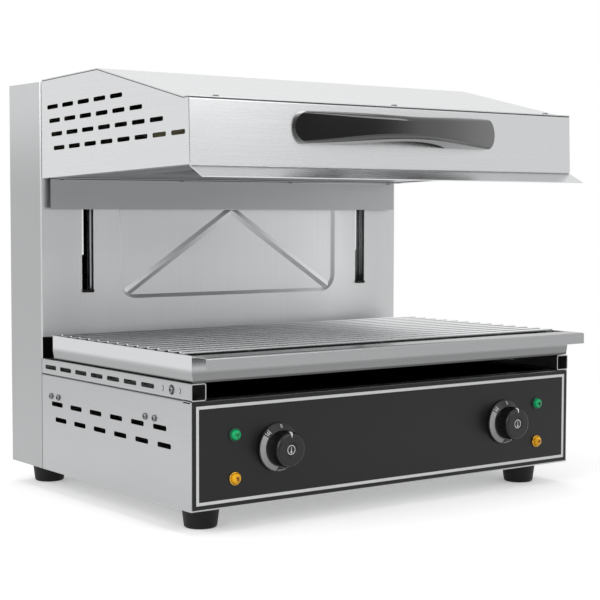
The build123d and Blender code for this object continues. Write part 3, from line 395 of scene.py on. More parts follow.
@dataclass(frozen=True)
class GroundSteel:
    """Stainless sheet, belt-ground: a satin sheen drawn out along the grain."""

    name: str
    grain: Grain
    colour: str = "D8D9DA"
    roughness: float = 0.27
    spread: float = 0.05          # roughness lost or gained along a line of the grain
    line_mm: float = 0.9          # real scratches lie 0.05 mm apart: drawn coarser, so that they show
    length_mm: float = 140.0
    cloud_mm: float = 160.0       # size of the faint clouds left by handling
    depth_mm: float = 0.006
    contrast: float = 0.05        # lightness lost or gained from line to line
    zones: tuple[Zone, ...] = ()
    noise: tuple = (0.6, 1.4)     # range of both noises' sum over which the roughness changes

    def build(self) -> Material:
        """Makes the material.

        Returns:
            The material.
        """
        material, tree, shader, place = start_material(self.name)
        scale = [1 / ((self.length_mm if share else self.line_mm) * MM) for share in self.grain.value]
        mapping = add_node(tree, "ShaderNodeMapping", {"Vector": place, "Scale": scale})
        lines = add_node(tree, "ShaderNodeTexNoise", {
            "Vector": mapping, "Scale": 1.0, "Detail": 4.0, "Roughness": 0.65})
        clouds = add_node(tree, "ShaderNodeTexNoise", {
            "Vector": place, "Scale": 1 / (self.cloud_mm * MM), "Detail": 2.0})
        colour = add_node(tree, "ShaderNodeMix", {
            "Factor": lines, "A": shade(self.colour, 1 - self.contrast),
            "B": shade(self.colour, 1 + self.contrast)}, data_type="RGBA")
        for zone in self.zones:
            colour = zone.blend(tree, place, colour)
        mixed = add_node(tree, "ShaderNodeMath", {0: lines, 1: clouds}, operation="ADD")
        rough = add_node(tree, "ShaderNodeMapRange", {
            "Value": mixed, "From Min": self.noise[0], "From Max": self.noise[1],
            "To Min": self.roughness - self.spread, "To Max": self.roughness + self.spread})
        bump = add_node(tree, "ShaderNodeBump", {
            "Height": lines, "Distance": self.depth_mm * MM, "Strength": 0.5})
        fill(tree, shader, {"Base Color": colour, "Roughness": rough, "Normal": bump, "Metallic": 1.0})
        return material


@dataclass(frozen=True)
class Solid:
    """A finish with one colour, a fine grain of its own and a little unevenness of tone."""

    name: str
    colour: str
    roughness: float
    metallic: float = 0.0
    grain_mm: float = 0.6         # size of the grain that the light catches
    depth_mm: float = 0.01
    tone: float = 0.12            # lightness lost or gained from place to place
    coat: float = 0.0
    specular: float = 0.5
    uneven: float = 0.15          # share of the roughness lost or gained from grain to grain
    clouds: int = 25              # size of the clouds of tone, in grains

    def build(self) -> Material:
        """Makes the material.

        Returns:
            The material.
        """
        material, tree, shader, place = start_material(self.name)
        grain, clouds = [add_node(tree, "ShaderNodeTexNoise", {
            "Vector": place, "Scale": 1 / (share * self.grain_mm * MM), "Detail": detail})
            for share, detail in ((1, 3.0), (self.clouds, 2.0))]
        colour = add_node(tree, "ShaderNodeMix", {
            "Factor": clouds, "A": shade(self.colour, 1 - self.tone), "B": shade(self.colour, 1 + self.tone)},
            data_type="RGBA")
        rough = add_node(tree, "ShaderNodeMapRange", {
            "Value": grain, "To Min": self.roughness * (1 - self.uneven),
            "To Max": self.roughness * (1 + self.uneven)})
        bump = add_node(tree, "ShaderNodeBump", {
            "Height": grain, "Distance": self.depth_mm * MM, "Strength": 0.6})
        fill(tree, shader, {
            "Base Color": colour, "Roughness": rough, "Normal": bump, "Metallic": self.metallic,
            "Coat Weight": self.coat, "Specular IOR Level": self.specular})
        return material


@dataclass(frozen=True)
class Lens:
    """Tinted acrylic: painted light makes it bright towards its rim, where light is led out, and painted
    shade makes it deeper over the bulb.
    """

    name: str
    colour: str
    deep: str
    glow: float                   # light added for what the unlit lens leads out of its tint
    roughness: float = 0.06
    facet_mm: float = 5.0
    coat: float = 0.1
    specular: float = 0.22
    change: tuple = (0.75, 1.15)  # range of span plus noise over which the deep tint turns to the bright one

    def build(self) -> Material:
        """Makes the material, which reads the attribute "span", 0 over the bulb and 1 at the rim.

        Returns:
            The material.
        """
        material, tree, shader, place = start_material(self.name)
        span = add_node(tree, "ShaderNodeAttribute", attribute_name="span").outputs["Fac"]
        facets = add_node(tree, "ShaderNodeTexNoise", {
            "Vector": place, "Scale": 1 / (self.facet_mm * MM), "Detail": 1.0})
        mixed = add_node(tree, "ShaderNodeMath", {0: span, 1: facets}, operation="ADD")
        share = add_node(tree, "ShaderNodeMapRange", {
            "Value": mixed, "From Min": self.change[0], "From Max": self.change[1]})
        tint = add_node(tree, "ShaderNodeMix", {
            "Factor": share, "A": linear(self.deep), "B": linear(self.colour)}, data_type="RGBA")
        fill(tree, shader, {
            "Base Color": tint, "Emission Color": tint, "Emission Strength": self.glow,
            "Roughness": self.roughness, "Coat Weight": self.coat, "Specular IOR Level": self.specular})
        return material


def built(finish: GroundSteel | Solid | Lens) -> Material:
    """Makes a field that builds a finish's material along with the others."""
    return field(default_factory=finish.build)


@dataclass
class Finishes:
    """Every finish of the grill, built once."""

    # Satin stainless: a grey with no tint, bright where it faces the light. Each sheet's grey is set one by
    # one to match how lit it looks: painted light and shade from sheet to sheet.
    sheet_x: Material = built(GroundSteel("satin_stainless_grain_across", Grain.ALONG_X, "D2D3D4"))
    sheet_y: Material = built(GroundSteel("satin_stainless_grain_to_the_back", Grain.ALONG_Y))
    front: Material = built(GroundSteel("satin_stainless_hood_front", Grain.ALONG_X, "CDCECF",
                                        contrast=0.03, depth_mm=0.005))
    body: Material = built(GroundSteel("satin_stainless_base", Grain.ALONG_Y, "B1B2B3", 0.3))
    # The column's zones paint shade on its sides and the edges of its face, and a painted highlight on its
    # top.
    sheet_z: Material = built(GroundSteel(
        "satin_stainless_grain_upright", Grain.ALONG_Z, "E6E7E8", 0.43, contrast=0.08, zones=(
            Zone(Axis.ACROSS, 299 * MM, 0.72, 0.5 * MM), Zone(Axis.ACROSS, -299 * MM, 0.57, 0.5 * MM, -1),
            Zone(Axis.ACROSS, 215 * MM, 0.72, 50 * MM), Zone(Axis.ACROSS, -235 * MM, 0.93, 30 * MM, -1),
            Zone(Axis.HIGH, CROWN - 80 * MM, 1.4, 70 * MM))))
    # The pan's zones paint shade on its lower band, its floor and what lies in front of the panel.
    pan: Material = built(GroundSteel("stainless_drip_pan", Grain.ALONG_X, "D2D3D4", 0.28, zones=(
        Zone(Axis.HIGH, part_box("drip_pan")[0].z + 13 * MM, 0.5, 4 * MM, -1),
        Zone(Axis.HIGH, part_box("drip_pan")[0].z + 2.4 * MM, 0.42, 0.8 * MM, -1),
        Zone(Axis.DEEP, FACE, 0.56, 1 * MM, -1))))
    # Painted shade: the rear plate and the hood's underside, under the hood, get a darker grey of the same
    # stainless.
    dull: Material = built(GroundSteel("dull_stainless_behind_the_heat", Grain.ALONG_X, "A6A7A9", 0.34))
    # Painted light: the arms behind the column's slots get a lighter grey of the same stainless, as if lit.
    bright: Material = built(GroundSteel("bright_edge_of_stainless_plate", Grain.ALONG_Z, "F0F1F2", 0.2))
    # Bright-rolled stainless: nearly a mirror, so that heat goes down to the grid.
    trough: Material = built(GroundSteel("bright_rolled_stainless", Grain.ALONG_X, "DCDDDE", 0.16, 0.03))
    # Polished guide rods: no grain is left, only a soft unevenness.
    guide: Material = built(Solid("polished_steel_guide_rod", "BEC0C2", 0.31, 1.0, 6.0, 0.0, 0.03))
    # The grid's rods: bright tops over dark sides, a step of painted light and shade as on the column and the
    # pan.
    rod: Material = built(GroundSteel(
        "stainless_grid_rod", Grain.ALONG_X, "F0F1F2", 0.3, 0.02, contrast=0.03,
        zones=(Zone(Axis.HIGH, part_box("rod_grid")[1].z - 1.25 * MM, 0.3, 0.45 * MM, -1),)))
    # Zinc on mild steel: a cool grey with a faint spangle.
    plated: Material = built(Solid("zinc_plated_steel", "9EA2A6", 0.38, 1.0, 1.5, 0.01))
    # Screws pickled after stamping, a shade darker than the sheet under them.
    screw: Material = built(Solid("pickled_stainless_screw", "77787A", 0.3, 1.0, 0.4, 0.004))
    # Printed polycarbonate overlay: charcoal, with a fine eggshell grain.
    film: Material = built(Solid("charcoal_overlay_film", "131314", 0.34, 0.0, 0.5, 0.004, 0.04,
                                 specular=0.3))
    ink: Material = built(Solid("light_grey_screen_ink", "DADBDB", 0.5, 0.0, 0.4, 0.002, 0.03))
    band: Material = built(Solid("mid_grey_screen_ink", "A4A5A5", 0.5, 0.0, 0.4, 0.002, 0.05))
    # Moulded phenolic: near black, with a soft sheen on its rounded edges.
    knob: Material = built(Solid("black_moulded_phenolic", "101010", 0.36, 0.0, 0.5, 0.006, 0.08,
                                 specular=0.4))
    # Glass-filled nylon with a polished skin: black with a long grey highlight.
    handle: Material = built(Solid("black_polished_nylon", "040404", 0.12, 0.0, 2.0, 0.002, 0.06, 0.4, 0.85))
    rubber: Material = built(Solid("black_moulded_rubber", "0B0B0B", 0.55, 0.0, 0.7, 0.02, 0.1, specular=0.3))
    rim: Material = built(Solid("pale_brass_plated_rim", "C79C45", 0.24, 1.0, 0.4, 0.002, 0.05))
    green_rim: Material = built(Solid("dark_green_moulded_rim", "07482F", 0.3, 0.0, 0.4, 0.002, 0.05))
    bronze: Material = built(Solid("sintered_bronze", "9C7240", 0.42, 1.0, 0.4, 0.01))
    nylon: Material = built(Solid("natural_nylon", "DEDACD", 0.45, 0.0, 0.6, 0.006, 0.04))
    # Near-black sheet, drawn without shine: painted shade, so that the gap under the pan stays dark.
    enamel: Material = built(Solid("black_enamelled_tray", "060606", 0.8, 0.0, 1.2, 0.02, 0.2, specular=0.05))
    gap: Material = built(Solid("dark_joint_line", "4A4B4C", 0.7, 0.0, 1.0, 0.0, 0.1, specular=0.2))
    acetal: Material = built(Solid("black_acetal", "141414", 0.4, 0.0, 0.6, 0.004, 0.05))
    phenolic: Material = built(Solid("brown_phenolic", "3A2C22", 0.4, 0.0, 0.7, 0.01))
    # Nickel alloy sheath, oxidised olive-brown by its first heats.
    sheath: Material = built(Solid("heat_oxidised_alloy_sheath", "4A453D", 0.46, 1.0, 0.8, 0.01, 0.25))
    wool: Material = built(Solid("mineral_wool", "C9BE97", 0.95, 0.0, 2.0, 0.4, 0.25))
    iron: Material = built(Solid("grey_enamelled_cast_iron", "55585B", 0.55, 0.0, 2.0, 0.05))
    rope: Material = built(Solid("galvanised_wire_rope", "8D9194", 0.4, 1.0, 0.5, 0.01))
    # Tinted acrylic lenses over dark wells: the lamps are off, so the colour is the tint's, a little lit.
    green: Material = built(Lens("green_tinted_acrylic", "08AA66", "033A22", 0.16))
    amber: Material = built(Lens("amber_tinted_acrylic", "F4B414", "7E4204", 0.1))


# ---- geometry node trees


def new_tree(name: str, sizes: dict[str, float | int]) -> tuple[NodeTree, bpy.types.NodeOutputs]:
    """Starts a geometry tree with a material input and one named input for each size.

    Args:
        name: The tree's name.
        sizes: Input names and their usual values; whole numbers become whole-number inputs.

    Returns:
        The tree and the outputs of its input node, by name.
    """
    tree = bpy.data.node_groups.new(name, "GeometryNodeTree")
    for title, way, kind in (("Geometry", "INPUT", "Geometry"), ("Geometry", "OUTPUT", "Geometry"),
                             ("Finish", "INPUT", "Material")):
        tree.interface.new_socket(title, in_out=way, socket_type="NodeSocket" + kind)
    for title, value in sizes.items():
        kind = "NodeSocketInt" if isinstance(value, int) else "NodeSocketFloat"
        tree.interface.new_socket(title, in_out="INPUT", socket_type=kind).default_value = value
    return tree, add_node(tree, "NodeGroupInput").outputs


def end_tree(tree: NodeTree, geometry: Node, finish: NodeSocket) -> NodeTree:
    """Ends a geometry tree in Realize Instances and Set Material.

    Args:
        tree: The tree.
        geometry: The node that holds the finished geometry.
        finish: The material input of the tree.

    Returns:
        The tree.
    """
    real = add_node(tree, "GeometryNodeRealizeInstances", {"Geometry": geometry})
    painted = add_node(tree, "GeometryNodeSetMaterial", {"Geometry": real, "Material": finish})
    add_node(tree, "NodeGroupOutput", {"Geometry": painted})
    return tree


def grow(name: str, tree: NodeTree, finish: Material, sizes: dict, base: Mesh | None = None) -> Piece:
    """Runs a geometry tree and turns what it makes into a plain mesh.

    Args:
        name: The new object's name.
        tree: The tree to run.
        finish: The material for its material input.
        sizes: Values for its named inputs.
        base: A mesh that the tree starts from.

    Returns:
        The new object.
    """
    host = mesh_object(name + "_host", base or bpy.data.meshes.new(name + "_base"))
    modifier = host.modifiers.new("grow", "NODES")
    modifier.node_group = tree
    values = {"Finish": finish, **sizes}
    for item in tree.interface.items_tree:
        if item.in_out == "INPUT" and item.name in values:
            modifier[item.identifier] = values[item.name]
    host.update_tag()
    made = host.evaluated_get(bpy.context.evaluated_depsgraph_get())
    mesh = bpy.data.meshes.new_from_object(made)
    host.modifiers.clear()
    bpy.data.objects.remove(host)
    mesh.name = name
    return mesh_object(name, mesh)


def rod_grid_tree() -> NodeTree:
    """Builds the tree of the rod grid: rods side by side across the pan, welded to ties under them.

    Returns:
        The tree.
    """
    tree, sizes = new_tree("rod_grid", {
        "Rods": 13, "Pitch": 0.0236, "Rod Radius": 0.0028, "Half Length": 0.2966, "Ties": 3,
        "Tie Spacing": 0.2, "Tie Radius": 0.0025, "Tie Half Length": 0.15, "Tie Drop": 0.0048})
    rows = []
    for count, gap, radius, half, along, across in (
            ("Rods", "Pitch", "Rod Radius", "Half Length", "X", "Y"),
            ("Ties", "Tie Spacing", "Tie Radius", "Tie Half Length", "Y", "X")):
        back = add_node(tree, "ShaderNodeMath", {0: sizes[half], 1: -1.0}, operation="MULTIPLY")
        start = add_node(tree, "ShaderNodeCombineXYZ", {along: back})
        end = add_node(tree, "ShaderNodeCombineXYZ", {along: sizes[half]})
        line = add_node(tree, "GeometryNodeCurvePrimitiveLine", {"Start": start, "End": end})
        circle = add_node(tree, "GeometryNodeCurvePrimitiveCircle", {
            "Resolution": 20, "Radius": sizes[radius]})
        bar = add_node(tree, "GeometryNodeCurveToMesh", {
            "Curve": line, "Profile Curve": circle, "Fill Caps": True})
        spacing = add_node(tree, "ShaderNodeCombineXYZ", {across: sizes[gap]})
        steps = add_node(tree, "ShaderNodeMath", {0: sizes[count], 1: -1.0}, operation="ADD")
        reach = add_node(tree, "ShaderNodeVectorMath", {0: spacing, "Scale": steps}, operation="SCALE")
        first = add_node(tree, "ShaderNodeVectorMath", {0: reach, "Scale": -0.5}, operation="SCALE")
        spots = add_node(tree, "GeometryNodeMeshLine", {
            "Count": sizes[count], "Start Location": first, "Offset": spacing})
        rows.append(add_node(tree, "GeometryNodeInstanceOnPoints", {"Points": spots, "Instance": bar}))
    sink = add_node(tree, "ShaderNodeMath", {0: sizes["Tie Drop"], 1: -1.0}, operation="MULTIPLY")
    drop = add_node(tree, "ShaderNodeCombineXYZ", {"Z": sink})
    ties = add_node(tree, "GeometryNodeTransform", {"Geometry": rows[1], "Translation": drop})
    both = add_node(tree, "GeometryNodeJoinGeometry")
    for part in (rows[0], ties):
        fill(tree, both, {0: part})
    return end_tree(tree, both, sizes["Finish"])


def screw_tree() -> NodeTree:
    """Builds the tree of pan-head screws: one head at every point, turned to the point's facing.

    Returns:
        The tree.
    """
    tree, sizes = new_tree("pan_head_screws", {
        "Head Radius": 0.004, "Head Height": 0.0024, "Recess Width": 0.0011, "Recess Length": 0.0044,
        "Recess Depth": 0.0012, "Seed": 3})
    straight, flat = 0.55, 0.62   # shares of the height that is a straight side and of the radius on top
    half = add_node(tree, "ShaderNodeMath", {0: sizes["Head Height"], 1: straight}, operation="MULTIPLY")
    rest = add_node(tree, "ShaderNodeMath", {0: sizes["Head Height"], 1: half}, operation="SUBTRACT")
    crown = add_node(tree, "ShaderNodeMath", {0: sizes["Head Radius"], 1: flat}, operation="MULTIPLY")
    low, dome = [add_node(tree, "GeometryNodeMeshCone", {
        "Vertices": 28, "Side Segments": rings, "Radius Top": upper, "Radius Bottom": sizes["Head Radius"],
        "Depth": depth}) for rings, upper, depth in ((1, sizes["Head Radius"], half), (4, crown, rest))]
    lift = add_node(tree, "ShaderNodeCombineXYZ", {"Z": half})
    raised = add_node(tree, "GeometryNodeTransform", {"Geometry": dome, "Translation": lift})
    head = add_node(tree, "GeometryNodeMeshBoolean", operation="UNION")
    for part in (low, raised):
        fill(tree, head, {1: part})
    cross = add_node(tree, "GeometryNodeMeshBoolean", {0: head}, operation="DIFFERENCE")
    deep = add_node(tree, "ShaderNodeMath", {0: sizes["Recess Depth"], 1: 2.0}, operation="MULTIPLY")
    top = add_node(tree, "ShaderNodeCombineXYZ", {"Z": sizes["Head Height"]})
    for wide, long in (("Recess Length", "Recess Width"), ("Recess Width", "Recess Length")):
        size = add_node(tree, "ShaderNodeCombineXYZ", {"X": sizes[wide], "Y": sizes[long], "Z": deep})
        bar = add_node(tree, "GeometryNodeMeshCube", {"Size": size})
        moved = add_node(tree, "GeometryNodeTransform", {"Geometry": bar, "Translation": top})
        fill(tree, cross, {1: moved})
    facing = add_node(tree, "GeometryNodeInputNamedAttribute", {"Name": "facing"}, data_type="FLOAT_VECTOR")
    turn = add_node(tree, "FunctionNodeAlignRotationToVector", {"Vector": facing}, axis="Z")
    spin = add_node(tree, "FunctionNodeRandomValue", {"Max": 3.14, "Seed": sizes["Seed"]}, data_type="FLOAT")
    twist = add_node(tree, "ShaderNodeCombineXYZ", {"Z": spin})
    rotation = add_node(tree, "FunctionNodeRotateRotation", {
        "Rotation": turn, "Rotate By": twist}, rotation_space="LOCAL")
    heads = add_node(tree, "GeometryNodeInstanceOnPoints", {
        "Points": sizes["Geometry"], "Instance": cross, "Rotation": rotation})
    return end_tree(tree, heads, sizes["Finish"])


def rib_ring_tree() -> NodeTree:
    """Builds the tree of a ring of grip ribs round a line along Z.

    Returns:
        The tree.
    """
    tree, sizes = new_tree("rib_ring", {
        "Ribs": 48, "Radius": 0.0205, "Width": 0.0009, "Height": 0.0009, "Length": 0.014})
    ring = add_node(tree, "GeometryNodeMeshCircle", {"Vertices": sizes["Ribs"], "Radius": sizes["Radius"]})
    half = add_node(tree, "ShaderNodeMath", {0: sizes["Width"], 1: 0.5}, operation="MULTIPLY")
    bar = add_node(tree, "GeometryNodeMeshCylinder", {
        "Vertices": 8, "Radius": half, "Depth": sizes["Length"]})
    stretch = add_node(tree, "ShaderNodeMath", {0: sizes["Height"], 1: sizes["Width"]}, operation="DIVIDE")
    shape = add_node(tree, "ShaderNodeCombineXYZ", {"X": stretch, "Y": 1.0, "Z": 1.0})
    rib = add_node(tree, "GeometryNodeTransform", {"Geometry": bar, "Scale": shape})
    place = add_node(tree, "GeometryNodeInputPosition")
    turn = add_node(tree, "FunctionNodeAlignRotationToVector", {"Vector": place}, axis="X")
    ribs = add_node(tree, "GeometryNodeInstanceOnPoints", {"Points": ring, "Instance": rib, "Rotation": turn})
    return end_tree(tree, ribs, sizes["Finish"])


def wire_rope_tree() -> NodeTree:
    """Builds the tree of a wire rope: strands wound round a straight line of the base mesh.

    Returns:
        The tree.
    """
    tree, sizes = new_tree("wire_rope", {"Strands": 6, "Rope Radius": 0.0015, "Lay": 0.018, "Step": 0.0012})
    thin = 0.34                   # a strand's radius as a share of the rope's
    strand = add_node(tree, "ShaderNodeMath", {0: sizes["Rope Radius"], 1: thin}, operation="MULTIPLY")
    orbit = add_node(tree, "ShaderNodeMath", {0: sizes["Rope Radius"], 1: strand}, operation="SUBTRACT")
    line = add_node(tree, "GeometryNodeMeshToCurve", {"Mesh": sizes["Geometry"]})
    fine = add_node(tree, "GeometryNodeResampleCurve", {
        "Curve": line, "Length": sizes["Step"]}, mode="LENGTH")
    copies = add_node(tree, "GeometryNodeDuplicateElements", {
        "Geometry": fine, "Amount": sizes["Strands"]}, domain="SPLINE")
    along = add_node(tree, "GeometryNodeSplineParameter").outputs["Length"]
    turns = add_node(tree, "ShaderNodeMath", {0: along, 1: sizes["Lay"]}, operation="DIVIDE")
    offset = add_node(tree, "ShaderNodeMath", {
        0: copies.outputs["Duplicate Index"], 1: sizes["Strands"]}, operation="DIVIDE")
    phase = add_node(tree, "ShaderNodeMath", {0: turns, 1: offset}, operation="ADD")
    angle = add_node(tree, "ShaderNodeMath", {0: phase, 1: 2 * math.pi}, operation="MULTIPLY")
    parts = []
    for operation in ("COSINE", "SINE"):
        wave = add_node(tree, "ShaderNodeMath", {0: angle}, operation=operation)
        parts.append(add_node(tree, "ShaderNodeMath", {0: wave, 1: orbit}, operation="MULTIPLY"))
    swing = add_node(tree, "ShaderNodeCombineXYZ", {"X": parts[0], "Y": parts[1]})
    wound = add_node(tree, "GeometryNodeSetPosition", {"Geometry": copies, "Offset": swing})
    ring = add_node(tree, "GeometryNodeCurvePrimitiveCircle", {"Resolution": 6, "Radius": strand})
    tube = add_node(tree, "GeometryNodeCurveToMesh", {
        "Curve": wound, "Profile Curve": ring, "Fill Caps": True})
    return end_tree(tree, tube, sizes["Finish"])


# ---- sub-assemblies


@dataclass
class Part:
    """A sub-assembly that is dressed from the grill's finishes."""

    finishes: Finishes


@dataclass
class Casing(Part):
    """Folded sheets of the base, the column and the hood, which keep their CAD shape."""

    across: tuple = ("base_floor", "hood_top", "front_deflector", "column_top")
    front: tuple = ("hood_front", "hood_back", "column_back")
    deep: tuple = ("hood_side_left", "hood_side_right")
    base: tuple = ("base_side_left", "base_side_right", "pan_rail_left", "pan_rail_right", "control_panel")
    shaded: tuple = ("rear_plate", "hood_underside")
    plates: tuple = ("arm_left", "arm_right")
    half: float = HALF_WIDTH
    stand: float = 0.05 * MM      # how far a line stands out of its sheet and goes into it
    # Joint lines of the hood, to the back and upwards from its rear lower edge, in millimetres.
    top_line: tuple = ((-5.0, 125.1), (-150.4, 125.3), (-343.8, 74.95), (-356.2, 74.95))
    top_width: float = 0.9
    front_line: tuple = ((-357.45, -357.3), (74.0, 74.95))
    corner_line: tuple = ((-356.3, -355.6), (2.0, 73.5))
    # Joint lines of the base, from the panel's front and the underside.
    back_width: float = 1.0 * MM
    back_height: float = 145 * MM
    rail_start: float = 2 * MM
    rail_line: tuple = (124.6 * MM, 125.4 * MM)
    rail_screw: tuple = (41.3, 135)                    # to the back and upwards, in millimetres
    # Marks by the rail's screw: place from it in mm, bulge, inner radius in mm, half angle in degrees.
    marks: tuple = ((-18.5, -1, 2.9, 65), (18.5, -1, 2.9, 65), (3.0, 1, 4.1, 155))
    mark_set: float = 3.0         # millimetres from a mark's place to the middle of its curve
    mark_width: float = 1.45      # outer radius as a share of the inner one
    mark_steps: int = 16

    def dress(self) -> None:
        """Gives each sheet the grain of the coil that it was cut from."""
        dress(self.finishes.sheet_x, *self.across)
        dress(self.finishes.sheet_y, *self.deep)
        dress(self.finishes.sheet_z, "column_wrap")
        dress(self.finishes.body, *self.base)
        dress(self.finishes.front, *self.front)
        dress(self.finishes.pan, "drip_pan")
        # base_top's near black is painted shade under the pan.
        dress(self.finishes.enamel, "base_top")
        # The rear plate and the hood's underside get painted shade.
        dress(self.finishes.dull, *self.shaded)
        # The arms get painted light.
        dress(self.finishes.bright, *self.plates)

    def build_joints(self) -> None:
        """Draws the thin dark joint lines of the hood and the base, and the marks on the rails."""
        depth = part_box("base_side_left")[1].y
        hood = [block("joint", (-self.half, self.half), *self.metres(self.front_line))]
        base = []
        for side in (-1, 1):
            across = sorted((side * (self.half - self.stand), side * (self.half + self.stand)))
            for start, end in zip(self.top_line, self.top_line[1:]):
                points = [(x, y * MM, (z + rise) * MM)
                          for x in across for y, z in (start, end) for rise in (-self.top_width, 0.0)]
                hood.append(mesh_from("joint", points, BOX_FACES))
            hood.append(block("joint", across, *self.metres(self.corner_line)))
            base.append(block("joint", across, (depth - self.back_width, depth),
                              (UNDER, UNDER + self.back_height)))
            base.append(block("joint", across, (FACE + self.rail_start, depth),
                              [UNDER + z for z in self.rail_line]))
            for place, bend, inner, half in self.marks:
                base.append(self.crescent(side, FACE + (self.rail_screw[0] + place) * MM,
                                          UNDER + self.rail_screw[1] * MM, bend, inner, half))
        lines = join("joint_lines_hood", hood)
        lines.data.transform(Matrix.Translation(HOOD_CORNER) @ HOOD_TILT)
        seat(paint(lines, self.finishes.gap), "hood", "rubber_black")
        seat(paint(join("joint_lines_base", base), self.finishes.gap), "base", "rubber_black")

    def metres(self, ranges: tuple) -> list:
        """Turns ranges from millimetres to metres."""
        return [[value * MM for value in ends] for ends in ranges]

    def crescent(self, side: int, y: float, z: float, bend: int, inner: float, half: float) -> Piece:
        """Makes a thin curved mark on the rail, by its screw: a tab's slit, or the rim of the screw's hole.

        Args:
            side: -1 for the left rail, 1 for the right.
            y: Place to the back.
            z: Place upwards.
            bend: Direction in which it bulges.
            inner: Inner radius in millimetres.
            half: Half of the angle that it spans, in degrees.

        Returns:
            The mark.
        """
        points = []
        for step in range(self.mark_steps + 1):
            turn = math.radians(half * (2 * step / self.mark_steps - 1))
            points += [(side * self.half + lift, y + bend * (reach * math.cos(turn) - self.mark_set) * MM,
                        z + reach * math.sin(turn) * MM)
                       for reach in (inner, self.mark_width * inner) for lift in (-self.stand, self.stand)]
        return sweep("crescent", points)


@dataclass
class Workings(Part):
    """Lift gear, elements and electrical pieces, most of them inside the casing."""

    cable_radius: float = 1.5 * MM
    pulley_spacing: float = 220 * MM
    overlap: float = 2 * MM       # cable inside its ferrule

    def dress(self) -> None:
        """Gives the inner CAD nodes their finishes."""
        finishes = self.finishes
        dress(finishes.trough, "reflector")
        dress(finishes.sheath, "heating_element_left", "heating_element_right")
        dress(finishes.sheet_x, "element_hangers")
        dress(finishes.wool, "insulation")
        dress(finishes.plated, "guide_clamps", "pulley_brackets", "carriage_block_left",
              "carriage_block_right", "crossbar")
        dress(finishes.guide, "guide_rods")
        dress(finishes.bronze, "guide_bushes")
        dress(finishes.nylon, "pulley_left", "pulley_right")
        dress(finishes.acetal, "pan_glides")
        dress(finishes.screw, "pulley_axles", "knob_spindle_left", "knob_spindle_right")
        dress(finishes.iron, "counterweight")
        dress(finishes.rope, "cable_wraps")
        dress(finishes.phenolic, "regulators", "terminal_block")
        dress(finishes.rubber, "slot_bumpers", "feet", "cable_gland")

    def build_cables(self) -> None:
        """Makes the straight stretches of both cables at one fixed length, though in the grill they lengthen
        and shorten as the hood moves.
        """
        tree = wire_rope_tree()
        for node, body in (("cable_front_runs", "hood"), ("cable_rear_runs", "counterweight")):
            low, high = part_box(node)
            depth = (low.y + high.y) / 2
            points = []
            for side in (-1, 1):
                x = side * self.pulley_spacing / 2
                points += [(x, depth, high.z), (x, depth, low.z - self.overlap)]
            line = bpy.data.meshes.new(node + "_line")
            line.from_pydata(points, [(0, 1), (2, 3)], [])
            rope = grow(node.replace("cable", "rope"), tree, self.finishes.rope,
                        {"Rope Radius": self.cable_radius}, line)
            soften(rope, 60)
            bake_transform(rope)
            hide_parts(node)
            LOG.info("made %s", rope.name)


@dataclass
class PanAndGrid(Part):
    """Rod grid that lies in the drip pan, and a black strip behind the pan as painted shade.

    The strip is a guess: the photograph shows only a dark patch behind the pan's rear left end.
    """

    rods: int = 13
    pitch: float = 23.6 * MM
    rod_radius: float = 2.8 * MM
    tie_radius: float = 2.5 * MM
    tie_spacing: float = 200 * MM
    weld: float = 0.5 * MM        # depth that the rods sink into the ties
    seal: tuple = (298.4 * MM, 1.4 * MM, 145.2 * MM, 172.6 * MM)     # half width, thickness, low and high

    def build(self) -> None:
        """Makes the grid in place of its CAD node, and the strip on the column's face."""
        low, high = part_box("rod_grid")
        grid = grow("grid_rods", rod_grid_tree(), self.finishes.rod, {
            "Rods": self.rods, "Pitch": self.pitch, "Rod Radius": self.rod_radius,
            "Half Length": (high.x - low.x) / 2, "Tie Spacing": self.tie_spacing,
            "Tie Radius": self.tie_radius, "Tie Half Length": (high.y - low.y) / 2,
            "Tie Drop": self.rod_radius + self.tie_radius - self.weld})
        middle = Vector(((low.x + high.x) / 2, (low.y + high.y) / 2, high.z - self.rod_radius))
        grid.data.transform(Matrix.Translation(middle))
        soften(grid)
        seat(grid, "rod_grid", "chrome", "rod_grid")
        # The strip is painted shade: a near-black piece on the column's face where the gap behind the pan
        # lies in shade.
        half, thick, bottom, top = self.seal
        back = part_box("column_wrap")[0].y
        seal = block("seal_strip", (-half, half), (back - thick, back), (UNDER + bottom, UNDER + top))
        seat(paint(seal, self.finishes.enamel), "base", "rubber_black")


